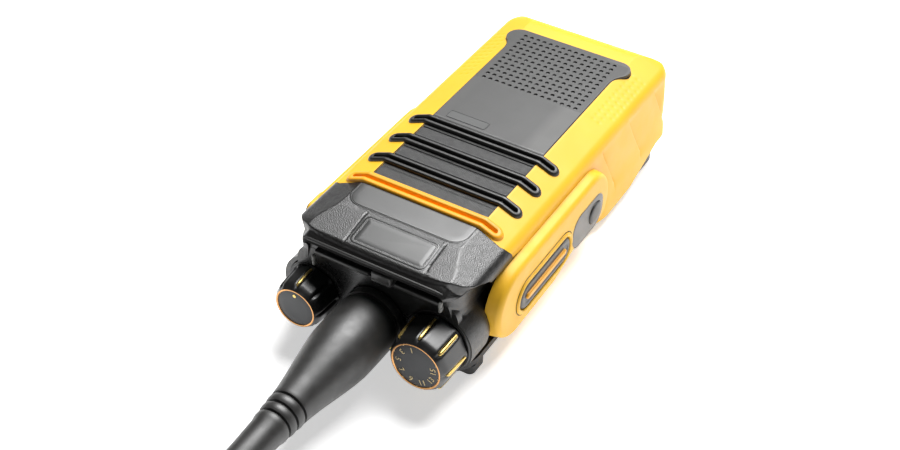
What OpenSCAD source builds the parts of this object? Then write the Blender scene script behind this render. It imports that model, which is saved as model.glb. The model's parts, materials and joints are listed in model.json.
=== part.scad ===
// Portable two-way radio, lying on its back.
// X runs across the front with the push-to-talk side at +X, Y runs along the body with
// the antenna at -Y, and Z points out of the front face. The origin is on the battery's
// back face, under the middle of the body.

/* [Body] */
// Width of the housing, without the side pods
body_w = 54; // [52:0.5:56]
// Length of the housing, without knobs and antenna
body_l = 125; // [122:1:130]
// Depth from the battery's back face to the front face
body_d = 35; // [35:0.5:37]
// Wall thickness of the moulded housings
wall = 1.8; // [1.5:0.1:2]
// Width of the flat crown of the front face
crown_w = 35.4; // [34:0.2:37]
// Radius of the housing's corners seen from the front
plan_r = 8.5; // [7:0.5:9]

/* [Front] */
// Number of slotted bars across the front
bar_count = 3; // [1:1:3]
// Distance between neighbouring bars
bar_pitch = 10.3; // [9:0.1:10.6]
// Width of one bar
bar_w = 3.8; // [3.4:0.1:4.2]
// Width of the slot in a bar
slot_w = 1.4; // [1:0.1:1.8]
// Distance between the centres of a slot's two ends
slot_span = 43; // [42:0.5:44]

/* [Side controls] */
// Length of the push-to-talk bezel
ptt_l = 31; // [28:0.5:32]
// Height of the push-to-talk bezel
ptt_h = 11; // [10:0.5:12]
// Travel of the push-to-talk button
ptt_travel = 1; // [0.6:0.1:1]
// Diameter of the round side key
key_d = 6.4; // [5:0.2:7]

/* [Top end] */
// Distance of each knob's axis from the middle
knob_x = 18.6; // [18.4:0.1:19]
// Height of the knob and antenna axes above the back face
axis_z = 13.5; // [13:0.5:14]
// Largest diameter of the channel knob
channel_d = 18.2; // [17:0.2:18.4]
// Largest diameter of the volume knob
volume_d = 15.4; // [14:0.2:16]
// Length of the antenna from the deck to its tip
antenna_l = 138; // [110:1:170]

/* [Battery] */
// Depth of the battery
battery_d = 12.5; // [12.5:0.1:12.6]
// Width of the battery
battery_w = 48.8; // [46:0.2:48.8]

/* [Hidden] */
$fn = 64;

gap = 0.3;
half_w = body_w / 2;
half_l = body_l / 2;
// The top end's flat end face cuts across the plan corners here.
end_y = -half_l + 1.3;
corner_z = body_d - 6.2;
corner_r = 3.5;
side_draft = 0.3;

// The front housing stops here, and the top housing covers the rest.
split_y = -38.2;
deck_y = -half_l + 3.5;
deck_t = 2;
head_back_z = 3;
head_side_w = 52.2;
head_parting_z = 5;
// The top end's front slopes down from here by head_fall, and ends in a lip over the deck.
head_slope_y = -48;
head_fall = 1.8;
lip_z = body_d - 4.6;
front_back_z = 3.5;
// The front housing's lower edge rises over the battery's wide foot at the far end.
foot_y = 35;
foot_full_y = 52;
foot_z = 9;
foot_gap = 0.6;
foot_w = 52.4;
// The far end has a large round over its front edge, and its sides lean outwards behind the pods.
far_r = 9;
far_plan_r = 6.5;
lean = 1.9;
lean_y = 12;

// The rear chassis: a plate above the battery and a cover behind the top end.
chassis_z = battery_d + 0.4;
chassis_t = 1.6;
chassis_w = 49;
chassis_end_y = half_l - 3;
riser_y = -37.3;

// Side pods
pod_x = half_w + 3.3;
pod_nose_r = 11;
pod_tail_r = 11;
pod_nose_y = -49;
pod_tail_y = 15;
pod_low_z = 5.5;
pod_tail_low_z = 9.2;
cheek_r = 9.8;
pod_top_z = pod_low_z + 2 * pod_nose_r;
ptt_y = -24;
ptt_z = 15.3;
key_y = 5.6;
key_z = 15.3;
switch_z = 16.7;
stem_x = half_w - 2.1;
dome_t = 0.9;
dome_x = stem_x - ptt_travel - 0.8 - dome_t;

plate_x = 2;
plate_w = 20.6;
plate_l = 8.8;
plate_y = -53.4;
plate_tilt = atan(head_fall / (head_slope_y - end_y - 2.6));
insert_w = 34.4;
insert_near_y = -46.6;
guide_x = 3.1;
guide_w = 5.8;
guide_z = 27;
guide_h = 2.9;
rail_z = 27.2;
rail_h = 1.3;
rail_spans = [[-17, guide_x - guide_w / 2 - 1], [guide_x + guide_w / 2 + 0.6, 19.5]];

// Bars
bar_first_y = -26;
bar_step_z = 0.9;
accent_y = -36.2;

// Accessory jacks
jack_y = -41.5;
jack_z = 14;
jack_pitch = 8.5;
jack_cover_w = 8.6;
jack_cover_h = 16;
jack_mid_z = jack_z + jack_pitch / 2;
jack_pin_r = 0.45;
jack_barrel_r = 1;
jack_hinge_x = -pod_x + 0.6;
jack_hinge_z = jack_mid_z - jack_cover_h / 2 + jack_barrel_r;

// Inner parts
board_z = 18.2;
board_t = 1.2;
speaker_y = -15.5;
speaker_r = 18;
speaker_z = 27;
bushing_r = 3.5;
shaft_r = 3;
running = 0.05;
knob_gap = 0.5;
facet_count = 8;
channel_l = 10.6;
volume_l = 9.2;
nut_r = 5.6;
nut_t = 1.8;
socket_r = 3.1;
ferrule_r = 5;
ferrule_l = 11;
antenna_x = 0.2;
insert_spacing = 25;
insert_y = -47;
insert_r = 1.25;
lug_x = 22.5;
lug_y = -50.5;
lug_w = 7;
lug_eye_r = 1.5;
screw_x = 20.6;
screw_ys = [-31, 52];
post_ys = [-24, 46];
post_x = 16;
battery_y0 = -36.7;
battery_y1 = half_l - 0.8;
shell_t = 1.5;
lid_t = 1.8;
latch_w = 18;
latch_z = 6;
latch_h = 2.6;
microphone_y = half_l - 10;
channel_ring_r = 7.2;
volume_ring_r = 6;
tag_y = bar_first_y + bar_count * bar_pitch - 4.6;

function arc(c, r, a0, a1, n = 8) =
    [for (i = [0:n]) c + r * [cos(a0 + (a1 - a0) * i / n), sin(a0 + (a1 - a0) * i / n)]];

function mirrored(pts) = concat(pts, [for (i = [len(pts) - 1:-1:0]) [-pts[i][0], pts[i][1]]]);

// Cross-section of the housing, moved inwards by t. out moves its lower corners outwards.
function section(t, low, out) = mirrored(concat(
    [[crown_w / 2 - 0.2 * t, body_d - t]],
    arc([half_w - corner_r, corner_z], corner_r - t, 68, 0),
    [[half_w - side_draft + out - t, low]]));

module across_y(y, length) {
    // Extrudes an outline drawn in X and Z along +Y, from y.
    translate([0, y + length, 0])
        rotate([90, 0, 0])
            linear_extrude(length) children();
}

module across_x(x, length) {
    // Extrudes an outline drawn in Y and Z along +X, from x.
    translate([x, 0, 0])
        rotate([90, 0, 90])
            linear_extrude(length) children();
}

module along_y(y0, y1, r) {
    translate([0, y0, 0])
        rotate([-90, 0, 0])
            cylinder(h = y1 - y0, r = r);
}

module toward_top() {
    // Turns a shape drawn upwards along Z so that it runs along -Y.
    rotate([90, 0, 0]) children();
}

module box(x0, x1, y0, y1, z0, z1) {
    translate([x0, y0, z0]) cube([x1 - x0, y1 - y0, z1 - z0]);
}

module rounded(w, l, r) {
    square([w - 2 * r, l], center = true);
    square([w, l - 2 * r], center = true);
    for (x = [-1, 1], y = [-1, 1]) {
        translate([x * (w / 2 - r), y * (l / 2 - r)]) circle(r);
    }
}

module stadium(l, w) {
    // A slot outline that lies along the first axis.
    square([l - w, w], center = true);
    for (s = [-1, 1]) {
        translate([s * (l - w) / 2, 0]) circle(w / 2);
    }
}

module plan_outline(t) {
    rounded(body_w + 2 - 2 * t, body_l - 2 * t, plan_r - t);
    translate([0, half_l / 2]) rounded(body_w + 4 - 2 * t, half_l - 2 * t, far_plan_r - t);
}

module housing_block(t, low, out = 0) {
    // The housing's full outer form, moved inwards by t and cut off at z = low.
    intersection() {
        across_y(-half_l - 1, body_l + 2) polygon(section(t, low, out));
        linear_extrude(body_d + 1) plan_outline(t);
        across_x(-half_w - 1, body_w + 2) polygon(concat(
            [[end_y + t, 0], [end_y + t, body_d - 4 - t], [end_y + 0.8 + t, body_d - 3 - t],
             [end_y + 2.6 + t, body_d - head_fall - t], [head_slope_y, body_d - t]],
            arc([half_l - far_r, body_d - far_r], far_r - t, 90, 0),
            [[half_l - 0.6 - t, 0]]));
    }
}

module pod_outline(grow) {
    // A side pod seen from the side: a round nose, a level top, a round tail and a lower edge with a rise.
    polygon(concat(
        arc([pod_nose_y + pod_nose_r, pod_top_z - pod_nose_r], pod_nose_r + grow, 270, 90, 16),
        arc([pod_tail_y - pod_tail_r, pod_top_z - pod_tail_r], pod_tail_r + grow, 90, -30, 12),
        [[pod_tail_y - 3, pod_tail_low_z - grow], [key_y - 11.5, pod_tail_low_z - grow],
         [key_y - 22.5, pod_low_z + 0.5 - grow]]));
}

module ptt_outline(inset) {
    translate([ptt_y, ptt_z]) stadium(ptt_l - 2 * inset, ptt_h - 2 * inset);
}

module key_inlay_outline(inset) {
    near_y = ptt_y + ptt_l / 2 + 0.8;
    far_y = key_y + 5;
    translate([(near_y + far_y) / 2, key_z]) rounded(far_y - near_y - 2 * inset, ptt_h - 2 * inset, 4.5);
}

module jack_cover_outline(inset) {
    translate([jack_y, jack_mid_z]) rounded(jack_cover_w - 2 * inset, jack_cover_h - 2 * inset, 2);
}

module panel_outline(inset) {
    // The black panel: straight sides that flare to rounded ears at the far end.
    near_y = accent_y + 3;
    side = crown_w / 2 - 0.6;
    neck = [side + 6, half_l - 25];
    ear = [side - 0.8, half_l - 17.6];
    polygon(mirrored(concat(
        [[side - inset, near_y + inset]],
        arc(neck, 6 + inset, 180, 142, 5),
        arc(ear, 3.8 - inset, -38, 90, 10))));
}

module jack_recess() {
    // The space for the jack cover and its hinge, with a hole for each plug
    across_x(-pod_x - 1, 1.8) jack_cover_outline(-0.3);
    translate([jack_hinge_x, 0, jack_hinge_z])
        along_y(jack_y - jack_cover_w / 2 - 0.3, jack_y + jack_cover_w / 2 + 0.3, jack_barrel_r + 0.3);
    translate([jack_hinge_x, 0, jack_hinge_z])
        along_y(jack_y - jack_cover_w / 2 - 1.6, jack_y + jack_cover_w / 2 + 1.6, jack_pin_r + 0.02);
    for (z = [jack_z, jack_z + jack_pitch]) {
        across_x(-pod_x - 1, pod_x - half_w + 4.4) translate([jack_y, z]) circle(2.6);
    }
}

module screw_boss(x, y) {
    translate([x, y, chassis_z + chassis_t + 1.4])
        cylinder(h = body_d - 5 - chassis_t - chassis_z, r = 3);
}

module bar_slot(y, span, w, z0, z1) {
    translate([0, y, z0]) linear_extrude(z1 - z0) stadium(span + w, w);
}

module front_housing() {
    color("orange")
    difference() {
        union() {
            difference() {
                union() {
                    housing_block(0, front_back_z);
                    intersection() {
                        housing_block(0, front_back_z, lean);
                        box(-pod_x, pod_x, lean_y, half_l, 0, body_d);
                    }
                }
                housing_block(wall, front_back_z - 2);
                box(-half_w - 1, half_w + 1, -half_l - 1, split_y, -1, body_d + 1);
                across_x(-half_w - 1, body_w + 2) polygon([
                    [foot_y, front_back_z - 2], [foot_y, front_back_z], [foot_full_y, foot_z],
                    [half_l + 1, foot_z], [half_l + 1, front_back_z - 2]]);
            }
            for (s = [-1, 1]) {
                pod(s);
            }
            intersection() {
                bar_slot(accent_y + 0.2, slot_span - 1.2, bar_w, body_d - 3.5, body_d + 1);
                translate([0, 0, bar_step_z]) housing_block(0, front_back_z);
            }
            for (x = [-screw_x, screw_x], y = screw_ys) {
                screw_boss(x, y);
            }
        }
        for (x = [-screw_x, screw_x], y = screw_ys) {
            translate([x, y, chassis_z]) cylinder(h = 12.5, r = 1.1);
        }
        translate([0, 0, body_d - 0.8]) linear_extrude(2) panel_outline(-0.15);
        for (i = [0:bar_count - 1]) {
            bar_slot(bar_first_y + i * bar_pitch, slot_span, bar_w + 0.3, body_d - 3.4, body_d + 2);
        }
        across_x(half_w - 3, pod_x - half_w + 5) ptt_outline(-0.15);
        across_x(pod_x - 0.8, 3) key_inlay_outline(-0.15);
        across_x(half_w - 3, pod_x - half_w + 5) translate([key_y, key_z]) circle(key_d / 2 + 0.2);
        bar_slot(accent_y + 0.2, slot_span - 2, slot_w, body_d - 0.6, body_d + 2);
        jack_recess();
        translate([0, microphone_y, body_d - 3]) cylinder(h = 4, r = 0.8);
    }
}

module pod(side) {
    // Outside the housing's side wall, from just inside the wall's outer face
    x0 = half_w - 0.7;
    scale_x = side > 0 ? 0 : 1;
    mirror([scale_x, 0, 0]) across_x(x0, pod_x - x0) pod_outline(0);
}

module front_panel() {
    color("dimgray")
    difference() {
        translate([0, 0, body_d - 0.7]) linear_extrude(0.9) panel_outline(0);
        for (i = [0:bar_count - 1]) {
            bar_slot(bar_first_y + i * bar_pitch, slot_span, bar_w + 0.3, body_d - 3.4, body_d + 2);
        }
        translate([-8, tag_y, body_d - 0.2]) linear_extrude(1) rounded(13, 4, 1);
        for (x = [-7:7], y = [0:11]) {
            translate([x * 2.1, half_l - 16 - y * 2.3, body_d - 0.2]) cylinder(h = 1, r = 0.5, $fn = 8);
        }
    }
}

module grille_bars() {
    // Each bar is a raised rim around a through slot, and follows the front's side facets.
    color("black")
    for (i = [0:bar_count - 1]) {
        y = bar_first_y + i * bar_pitch;
        difference() {
            intersection() {
                bar_slot(y, slot_span, bar_w, body_d - 2.4, body_d + 2);
                translate([0, 0, bar_step_z]) housing_block(0, front_back_z);
            }
            bar_slot(y, slot_span - 1, slot_w, body_d - 4, body_d + 3);
        }
    }
}

module model_tag() {
    color("gray")
    translate([-8, tag_y, body_d - 0.15]) linear_extrude(0.45) rounded(12.6, 3.6, 0.9);
}

module head_opening() {
    // The space that the top housing leaves open at the end and behind.
    across_y(-half_l - 1, 8) translate([0, (head_parting_z + body_d - 8) / 2])
        square([head_side_w - 3.4, body_d - 8 - head_parting_z], center = true);
}

module on_slope(inset) {
    // A shape on the top end's slope, where the name plate lies, this far below the surface
    fall = (head_slope_y - plate_y) * tan(plate_tilt);
    translate([plate_x, plate_y, body_d - fall])
        rotate([plate_tilt, 0, 0])
            translate([0, 0, -inset]) children();
}

module top_housing() {
    color("black") {
        top_shell();
        for (x = rail_spans) {
            box(x[0], x[1], end_y, deck_y + 0.5, rail_z, rail_z + rail_h);
        }
    }
}

module top_shell() {
    difference() {
        intersection() {
            union() {
                housing_block(0, head_parting_z);
                for (x = [-knob_x, knob_x]) {
                    translate([x, 0, axis_z]) along_y(deck_y, pod_nose_y + 6, cheek_r);
                }
            }
            box(-pod_x, pod_x, -half_l, split_y - gap / 2, head_parting_z, body_d);
        }
        box(-half_w + wall, half_w - wall, deck_y + deck_t + 1, split_y, head_parting_z - 1, body_d - 8);
        box(-half_w + 7, half_w - 7, deck_y + deck_t + 1, split_y, head_parting_z - 1, body_d - 3.2);
        head_opening();
        for (s = [0, 1]) {
            mirror([s, 0, 0]) across_x(half_w - 0.9, 3) pod_outline(0.2);
        }
        across_x(half_w - 3, 4) ptt_outline(-0.3);
        box(-pod_x - 1, pod_x + 1, -half_l - 1, deck_y, -1, lip_z);
        box(guide_x - guide_w / 2 - 0.2, guide_x + guide_w / 2 + 0.2, deck_y - 1, deck_y + 3.5,
            guide_z - 0.3, guide_z + guide_h + 0.3);
        on_slope(1.2) linear_extrude(3) rounded(plate_w + 0.4, plate_l + 0.4, 1.5);
        translate([0, 0, body_d - 0.7]) linear_extrude(3) insert_outline(0.2);
        jack_recess();
    }
}

module insert_outline(grow) {
    translate([0, insert_near_y + 8]) rounded(insert_w + 2 * grow, 16 + 2 * grow, 4 + grow);
}

module brow_insert() {
    color("gray")
    intersection() {
        translate([0, 0, body_d - 0.6]) linear_extrude(1) insert_outline(0);
        box(-half_w, half_w, -half_l, split_y - gap / 2, 0, body_d + 0.15);
    }
}

module name_plate() {
    color("gray")
    on_slope(1.1) linear_extrude(1) rounded(plate_w, plate_l, 1.3);
}

module deck_outline() {
    translate([0, (head_parting_z + body_d - 8) / 2])
        rounded(head_side_w - 4, body_d - 8.6 - head_parting_z, 5);
}

module top_deck() {
    color("black")
    difference() {
        union() {
            across_y(deck_y, deck_t) deck_outline();
            for (x = [-knob_x, knob_x]) {
                intersection() {
                    translate([x, 0, axis_z]) along_y(deck_y - 0.2, deck_y, 8.2);
                    across_y(deck_y - 1, 2) deck_outline();
                }
            }
        }
        for (x = [-knob_x, knob_x]) {
            translate([x, 0, axis_z]) along_y(deck_y - 1, deck_y + 3, bushing_r + 0.05);
        }
        translate([antenna_x, 0, axis_z]) along_y(deck_y - 1, deck_y + 3, 4.1);
    }
}

module light_guide() {
    color("lightgray")
    box(guide_x - guide_w / 2, guide_x + guide_w / 2, end_y - 0.6, deck_y + 3.4,
        guide_z, guide_z + guide_h);
}

module rear_chassis() {
    color("dimgray")
    difference() {
        union() {
            translate([0, (chassis_end_y + riser_y) / 2, chassis_z])
                linear_extrude(chassis_t) rounded(chassis_w, chassis_end_y - riser_y, 5);
            box(-chassis_w / 2, chassis_w / 2, riser_y, riser_y + 0.4, head_back_z, chassis_z);
            intersection() {
                translate([0, 0, head_back_z]) linear_extrude(head_parting_z - head_back_z - 0.1)
                    rounded(head_side_w, body_l - 7, plan_r);
                box(-half_w, half_w, deck_y, split_y - gap, 0, body_d);
            }
            box(-chassis_w / 2, chassis_w / 2, split_y - 1, riser_y + 0.4, head_back_z, head_parting_z - 0.1);
            for (x = [-1, 1]) {
                translate([x * insert_spacing / 2, insert_y, head_back_z]) cylinder(h = 4.4, r = 3.2);
            }
            for (x = [-post_x, post_x], y = post_ys) {
                translate([x, y, chassis_z]) cylinder(h = board_z - chassis_z - 0.1, r = 2.2);
            }
        }
        for (x = [-screw_x, screw_x], y = screw_ys) {
            translate([x, y, chassis_z - 0.1]) cylinder(h = 1, r = 2.4);
            translate([x, y, chassis_z - 1]) cylinder(h = 5, r = 1.4);
        }
        for (x = [-1, 1]) {
            translate([x * insert_spacing / 2, insert_y, head_back_z - 1]) cylinder(h = 8, r = 2.1);
        }
        for (x = [-post_x, post_x], y = post_ys) {
            translate([x, y, chassis_z + chassis_t]) cylinder(h = 6, r = 0.8);
        }
        box(-8.2, 8.2, -31.2, -25.8, chassis_z - 1, chassis_z + 3);
    }
}

module main_seal() {
    seal_w = chassis_w - 1.4;
    z = chassis_z + chassis_t + 0.1;
    color("orangered")
    translate([0, (chassis_end_y + riser_y) / 2, z]) linear_extrude(0.9)
    difference() {
        rounded(seal_w, chassis_end_y - riser_y - 1, 4);
        rounded(seal_w - 1.8, chassis_end_y - riser_y - 2.8, 3.2);
    }
}

module strap_lug() {
    // An eye at the back corner of the top end, on the push-to-talk side
    color("black")
    difference() {
        translate([lug_x, lug_y, 0.2]) linear_extrude(head_back_z - 0.3) rounded(lug_w, lug_w, 1.6);
        translate([lug_x, lug_y, -1]) cylinder(h = 5, r = lug_eye_r);
    }
}

module clip_inserts() {
    color("gold")
    for (x = [-1, 1]) {
        translate([x * insert_spacing / 2, insert_y, head_back_z])
        difference() {
            cylinder(h = 4.2, r = 2.05);
            translate([0, 0, -1]) cylinder(h = 6, r = insert_r);
        }
    }
}

module chassis_screws() {
    color("silver")
    for (x = [-screw_x, screw_x], y = screw_ys) {
        translate([x, y, chassis_z])
        difference() {
            union() {
                cylinder(h = 0.8, r = 2.2);
                cylinder(h = 10, r = 1.05);
            }
            translate([0, 0, -0.1]) cylinder(h = 0.6, r = 0.9, $fn = 6);
        }
    }
}

module ptt_bezel() {
    color("orange")
    across_x(half_w - 1.6, pod_x + 0.6 - half_w + 1.6)
    difference() {
        ptt_outline(0);
        ptt_outline(1.2);
    }
}

module ptt_button() {
    color("slategray")
    union() {
        across_x(half_w - 1, pod_x + 0.5 - half_w + 1) ptt_outline(1.5);
        across_x(stem_x, 1.5) translate([ptt_y, switch_z - 0.6]) circle(1.1);
    }
}

module ptt_accent() {
    color("orange")
    across_x(pod_x + 0.5, 0.5) translate([ptt_y, ptt_z]) stadium(ptt_l - 9, 1.8);
}

module side_key_inlay() {
    color("slategray")
    across_x(pod_x - 0.7, 0.5)
    difference() {
        key_inlay_outline(0);
        translate([key_y, key_z]) circle(key_d / 2 + 0.25);
    }
}

module side_key() {
    color("black")
    union() {
        across_x(half_w - 1, pod_x + 0.2 - half_w + 1) translate([key_y, key_z]) circle(key_d / 2);
        across_x(stem_x, 1.5) translate([key_y, switch_z - 1.3]) circle(0.7);
    }
}

module side_switch_board() {
    color("darkgreen")
    box(dome_x - 0.9, dome_x - 0.1, ptt_y - 3.4, key_y + 6, chassis_z + chassis_t + 0.1, board_z - 0.2);
}

module dome_switches() {
    color("silver")
    for (y = [ptt_y, key_y]) {
        translate([dome_x, y, switch_z]) rotate([0, 90, 0]) cylinder(h = dome_t, r = 1.15);
    }
}

module jack_block() {
    color("black")
    difference() {
        box(-half_w + wall + 0.3, -15, jack_y - 3.6, jack_y + 3.4, jack_z - 3.6, jack_z + jack_pitch + 3);
        across_x(-half_w, 9) translate([jack_y, jack_z]) circle(1.8);
        across_x(-half_w, 9) translate([jack_y, jack_z + jack_pitch]) circle(1.3);
    }
}

module jack_cover() {
    color("black")
    difference() {
        union() {
            intersection() {
                across_x(-pod_x - 0.4, 1.1) jack_cover_outline(0);
                box(-pod_x - 1, 0, -half_l, 0, jack_hinge_z, body_d);
            }
            translate([jack_hinge_x, 0, jack_hinge_z])
                along_y(jack_y - jack_cover_w / 2, jack_y + jack_cover_w / 2, jack_barrel_r);
        }
        translate([jack_hinge_x, 0, jack_hinge_z])
            along_y(jack_y - jack_cover_w, jack_y + jack_cover_w, jack_pin_r + running);
    }
}

module jack_cover_pin() {
    color("silver")
    translate([jack_hinge_x, 0, jack_hinge_z])
        along_y(jack_y - jack_cover_w / 2 - 1.5, jack_y + jack_cover_w / 2 + 1.5, jack_pin_r);
}

module main_board() {
    near = -46;
    far = half_l - 6;
    color("darkgreen")
    difference() {
        box(-21, 21, near, far, board_z, board_z + board_t);
        box(-22, -12, near - 1, -37, board_z - 1, board_z + 3);
        for (x = [-screw_x, screw_x], y = screw_ys) {
            translate([x, y, board_z - 1]) cylinder(h = 4, r = 3.4);
        }
        for (x = [-post_x, post_x], y = post_ys) {
            translate([x, y, board_z - 1]) cylinder(h = 4, r = 1);
        }
    }
}

module shield_cans() {
    z = board_z + board_t + 0.05;
    color("silver") {
        box(-18, -1, 20, 40, z, z + 2.4);
        box(1, 18, 20, 40, z, z + 2.4);
        box(-11, 18, -44, -36, z, z + 2);
    }
}

module board_screws() {
    color("silver")
    for (x = [-post_x, post_x], y = post_ys) {
        translate([x, y, board_z + board_t + 0.02]) cylinder(h = 0.9, r = 1.7);
        translate([x, y, chassis_z + chassis_t + 0.2])
            cylinder(h = board_z + board_t - chassis_z - chassis_t, r = 0.75);
    }
}

module speaker_felt() {
    color("black")
    translate([0, speaker_y, speaker_z + 4.8]) cylinder(h = 0.5, r = speaker_r - 0.5);
}

module speaker_frame() {
    color("silver")
    translate([0, speaker_y, speaker_z])
    difference() {
        union() {
            cylinder(h = 1.2, r = 13);
            difference() {
                cylinder(h = 4.6, r = speaker_r);
                translate([0, 0, 1.2]) cylinder(h = 5, r = speaker_r - 1);
            }
        }
        translate([0, 0, -1]) cylinder(h = 4, r = 8.2);
    }
}

module speaker_cone() {
    color("darkslategray")
    translate([0, speaker_y, speaker_z])
    rotate_extrude()
    polygon([[0, 3.6], [6, 2.4], [16.6, 3.9], [16.6, 4.3], [6, 2.8], [0, 4]]);
}

module speaker_magnet() {
    color("silver")
    translate([0, speaker_y, speaker_z - 4]) cylinder(h = 5.6, r = 8);
}

module microphone() {
    color("silver")
    translate([0, microphone_y, body_d - 6.2]) cylinder(h = 2.2, r = 2);
}

module microphone_boot() {
    color("black")
    translate([0, microphone_y, body_d - 6.6])
    difference() {
        cylinder(h = 4.5, r = 3.2);
        translate([0, 0, 0.4]) cylinder(h = 2.4, r = 2.05);
        translate([0, 0, 2]) cylinder(h = 4, r = 0.6);
    }
}

module rotary_body(x) {
    // A panel control: its case behind the deck and its threaded bushing through it
    translate([x, 0, axis_z])
    difference() {
        union() {
            box(-5, 5, deck_y + deck_t + 0.1, deck_y + 10, -5, 4.4);
            along_y(deck_y - 2.6, deck_y + 3, bushing_r);
        }
        along_y(deck_y - 3, deck_y + 8, shaft_r + running);
    }
}

module volume_pot() {
    color("silver") rotary_body(-knob_x);
}

module channel_switch() {
    color("silver") rotary_body(knob_x);
}

module bushing_nuts() {
    color("gold")
    for (x = [-knob_x, knob_x]) {
        translate([x, deck_y - 0.25, axis_z]) toward_top()
        difference() {
            cylinder(h = nut_t, r = nut_r, $fn = 6);
            translate([0, 0, -1]) cylinder(h = 4, r = bushing_r + 0.05);
        }
    }
}

module antenna_socket() {
    color("gold")
    translate([antenna_x, 0, axis_z])
    union() {
        along_y(deck_y - 6, deck_y + 2, socket_r);
        along_y(deck_y + deck_t + 0.1, deck_y + 4, 5);
    }
}

module knob(d, l, ring_r, grooves) {
    // Drawn along +Z from the deck: a slightly tapered grip with grooves, hollow underneath.
    difference() {
        rotate_extrude() polygon([
            [shaft_r + running, 0], [d / 2 - 0.8, 0], [d / 2, 0.8], [d / 2 - 0.3, l - 1.6],
            [ring_r + 0.5, l - 0.4], [ring_r + 0.5, l], [shaft_r + running, l]]);
        translate([0, 0, -1]) cylinder(h = 4.2, r = nut_r + 0.6);
        translate([0, 0, l - 1]) cylinder(h = 2, r = ring_r + 0.05);
        for (i = [0:grooves - 1]) {
            rotate(i * 360 / grooves) translate([d / 2 + 0.4, 0, 1.2]) cylinder(h = l, r = 1);
        }
    }
}

module placed_knob(x) {
    translate([x, deck_y - knob_gap, axis_z]) toward_top() children();
}

module knob_ring(r, l) {
    translate([0, 0, l - 0.9])
    difference() {
        cylinder(h = 0.9, r = r);
        translate([0, 0, -1]) cylinder(h = 3, r = r - 0.6);
    }
}

module volume_knob() {
    color("black") placed_knob(-knob_x) knob(volume_d, volume_l, volume_ring_r, facet_count);
}

module volume_ring() {
    color("peru") placed_knob(-knob_x) knob_ring(volume_ring_r, volume_l);
}

module volume_cap() {
    color("dimgray") placed_knob(-knob_x)
        translate([0, 0, volume_l - 0.9]) cylinder(h = 0.6, r = volume_ring_r - 0.65);
}

module volume_shaft() {
    color("silver") translate([-knob_x, 0, axis_z])
        along_y(deck_y - knob_gap - volume_l + 1.2, deck_y + 7.8, shaft_r);
}

module channel_knob() {
    color("black") placed_knob(knob_x) knob(channel_d, channel_l, channel_ring_r, facet_count);
}

module channel_ring() {
    color("peru") placed_knob(knob_x) knob_ring(channel_ring_r, channel_l);
}

module channel_cap() {
    color("dimgray") placed_knob(knob_x)
        translate([0, 0, channel_l - 0.9]) cylinder(h = 0.6, r = channel_ring_r - 0.65);
}

module channel_shaft() {
    color("silver") translate([knob_x, 0, axis_z])
        along_y(deck_y - knob_gap - channel_l + 1.2, deck_y + 7.8, shaft_r);
}

module antenna_boot() {
    // A collar with a groove, a fat tapered boot, three ring grooves and a slim whip.
    tip_r = 3.2;
    ring_y = 39;
    rings = [for (i = [0:2]) each [
        [5.3 - i * 0.2, ring_y + i * 2.9], [4.6 - i * 0.2, ring_y + i * 2.9],
        [4.6 - i * 0.2, ring_y + i * 2.9 + 0.7], [5.3 - i * 0.2, ring_y + i * 2.9 + 0.7]]];
    color("black")
    translate([antenna_x, deck_y - gap, axis_z]) toward_top()
    difference() {
        rotate_extrude() polygon(concat(
            [[0, 0], [8.6, 0], [8.8, 0.4], [8.8, 2.4], [8.2, 2.6], [8.2, 3.1], [8.8, 3.3],
             [8.8, 17], [8.3, 21], [7.3, 27], [6.1, 33]],
            rings,
            [[4.4, 54], [3.7, 75], [tip_r + 0.2, antenna_l - 4]],
            arc([0, antenna_l - gap - tip_r], tip_r, 0, 90)));
        translate([0, 0, -1]) cylinder(h = ferrule_l + 1.1, r = ferrule_r + 0.05);
        cylinder(h = antenna_l - 12, r = 1.25);
    }
}

module antenna_ferrule() {
    color("gold")
    translate([antenna_x, deck_y - gap, axis_z]) toward_top()
    difference() {
        cylinder(h = ferrule_l, r = ferrule_r);
        translate([0, 0, -1]) cylinder(h = 8, r = socket_r + running);
    }
}

module antenna_radiator() {
    color("peru")
    translate([antenna_x, deck_y - gap, axis_z]) toward_top()
        translate([0, 0, ferrule_l + 0.1]) cylinder(h = antenna_l - ferrule_l - 13, r = 1.2);
}

module contact_block() {
    color("black") box(-8, 8, -31, -26, chassis_z, board_z - 0.2);
}

module contact_springs() {
    color("gold")
    for (x = [-5, 0, 5]) {
        box(x - 0.8, x + 0.8, -30, -27, battery_d + 0.05, chassis_z - 0.05);
    }
}

module battery_plan(inset, y1) {
    translate([0, (battery_y0 + y1) / 2])
        rounded(battery_w - 2 * inset, y1 - battery_y0 - 2 * inset, 5 - inset);
}

module battery_shell() {
    rim_z = battery_d - lid_t - 0.1;
    color("black")
    difference() {
        union() {
            linear_extrude(foot_z - foot_gap) battery_plan(0, battery_y1);
            linear_extrude(rim_z) battery_plan(0, half_l - 3.2);
            intersection() {
                linear_extrude(foot_z) rounded(foot_w, 2 * battery_y1, plan_r - 0.8);
                across_x(-half_w, body_w) polygon([
                    [foot_y + 1, 0], [foot_y + 1, front_back_z - 0.3],
                    [foot_full_y + foot_gap, foot_z - foot_gap], [half_l, foot_z - foot_gap], [half_l, 0]]);
            }
        }
        translate([0, 0, shell_t]) linear_extrude(battery_d) battery_plan(shell_t, half_l - 8);
        box(-latch_w / 2 - 0.4, latch_w / 2 + 0.4, half_l - 7.5, half_l + 1, latch_z - 0.3, battery_d);
    }
}

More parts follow.
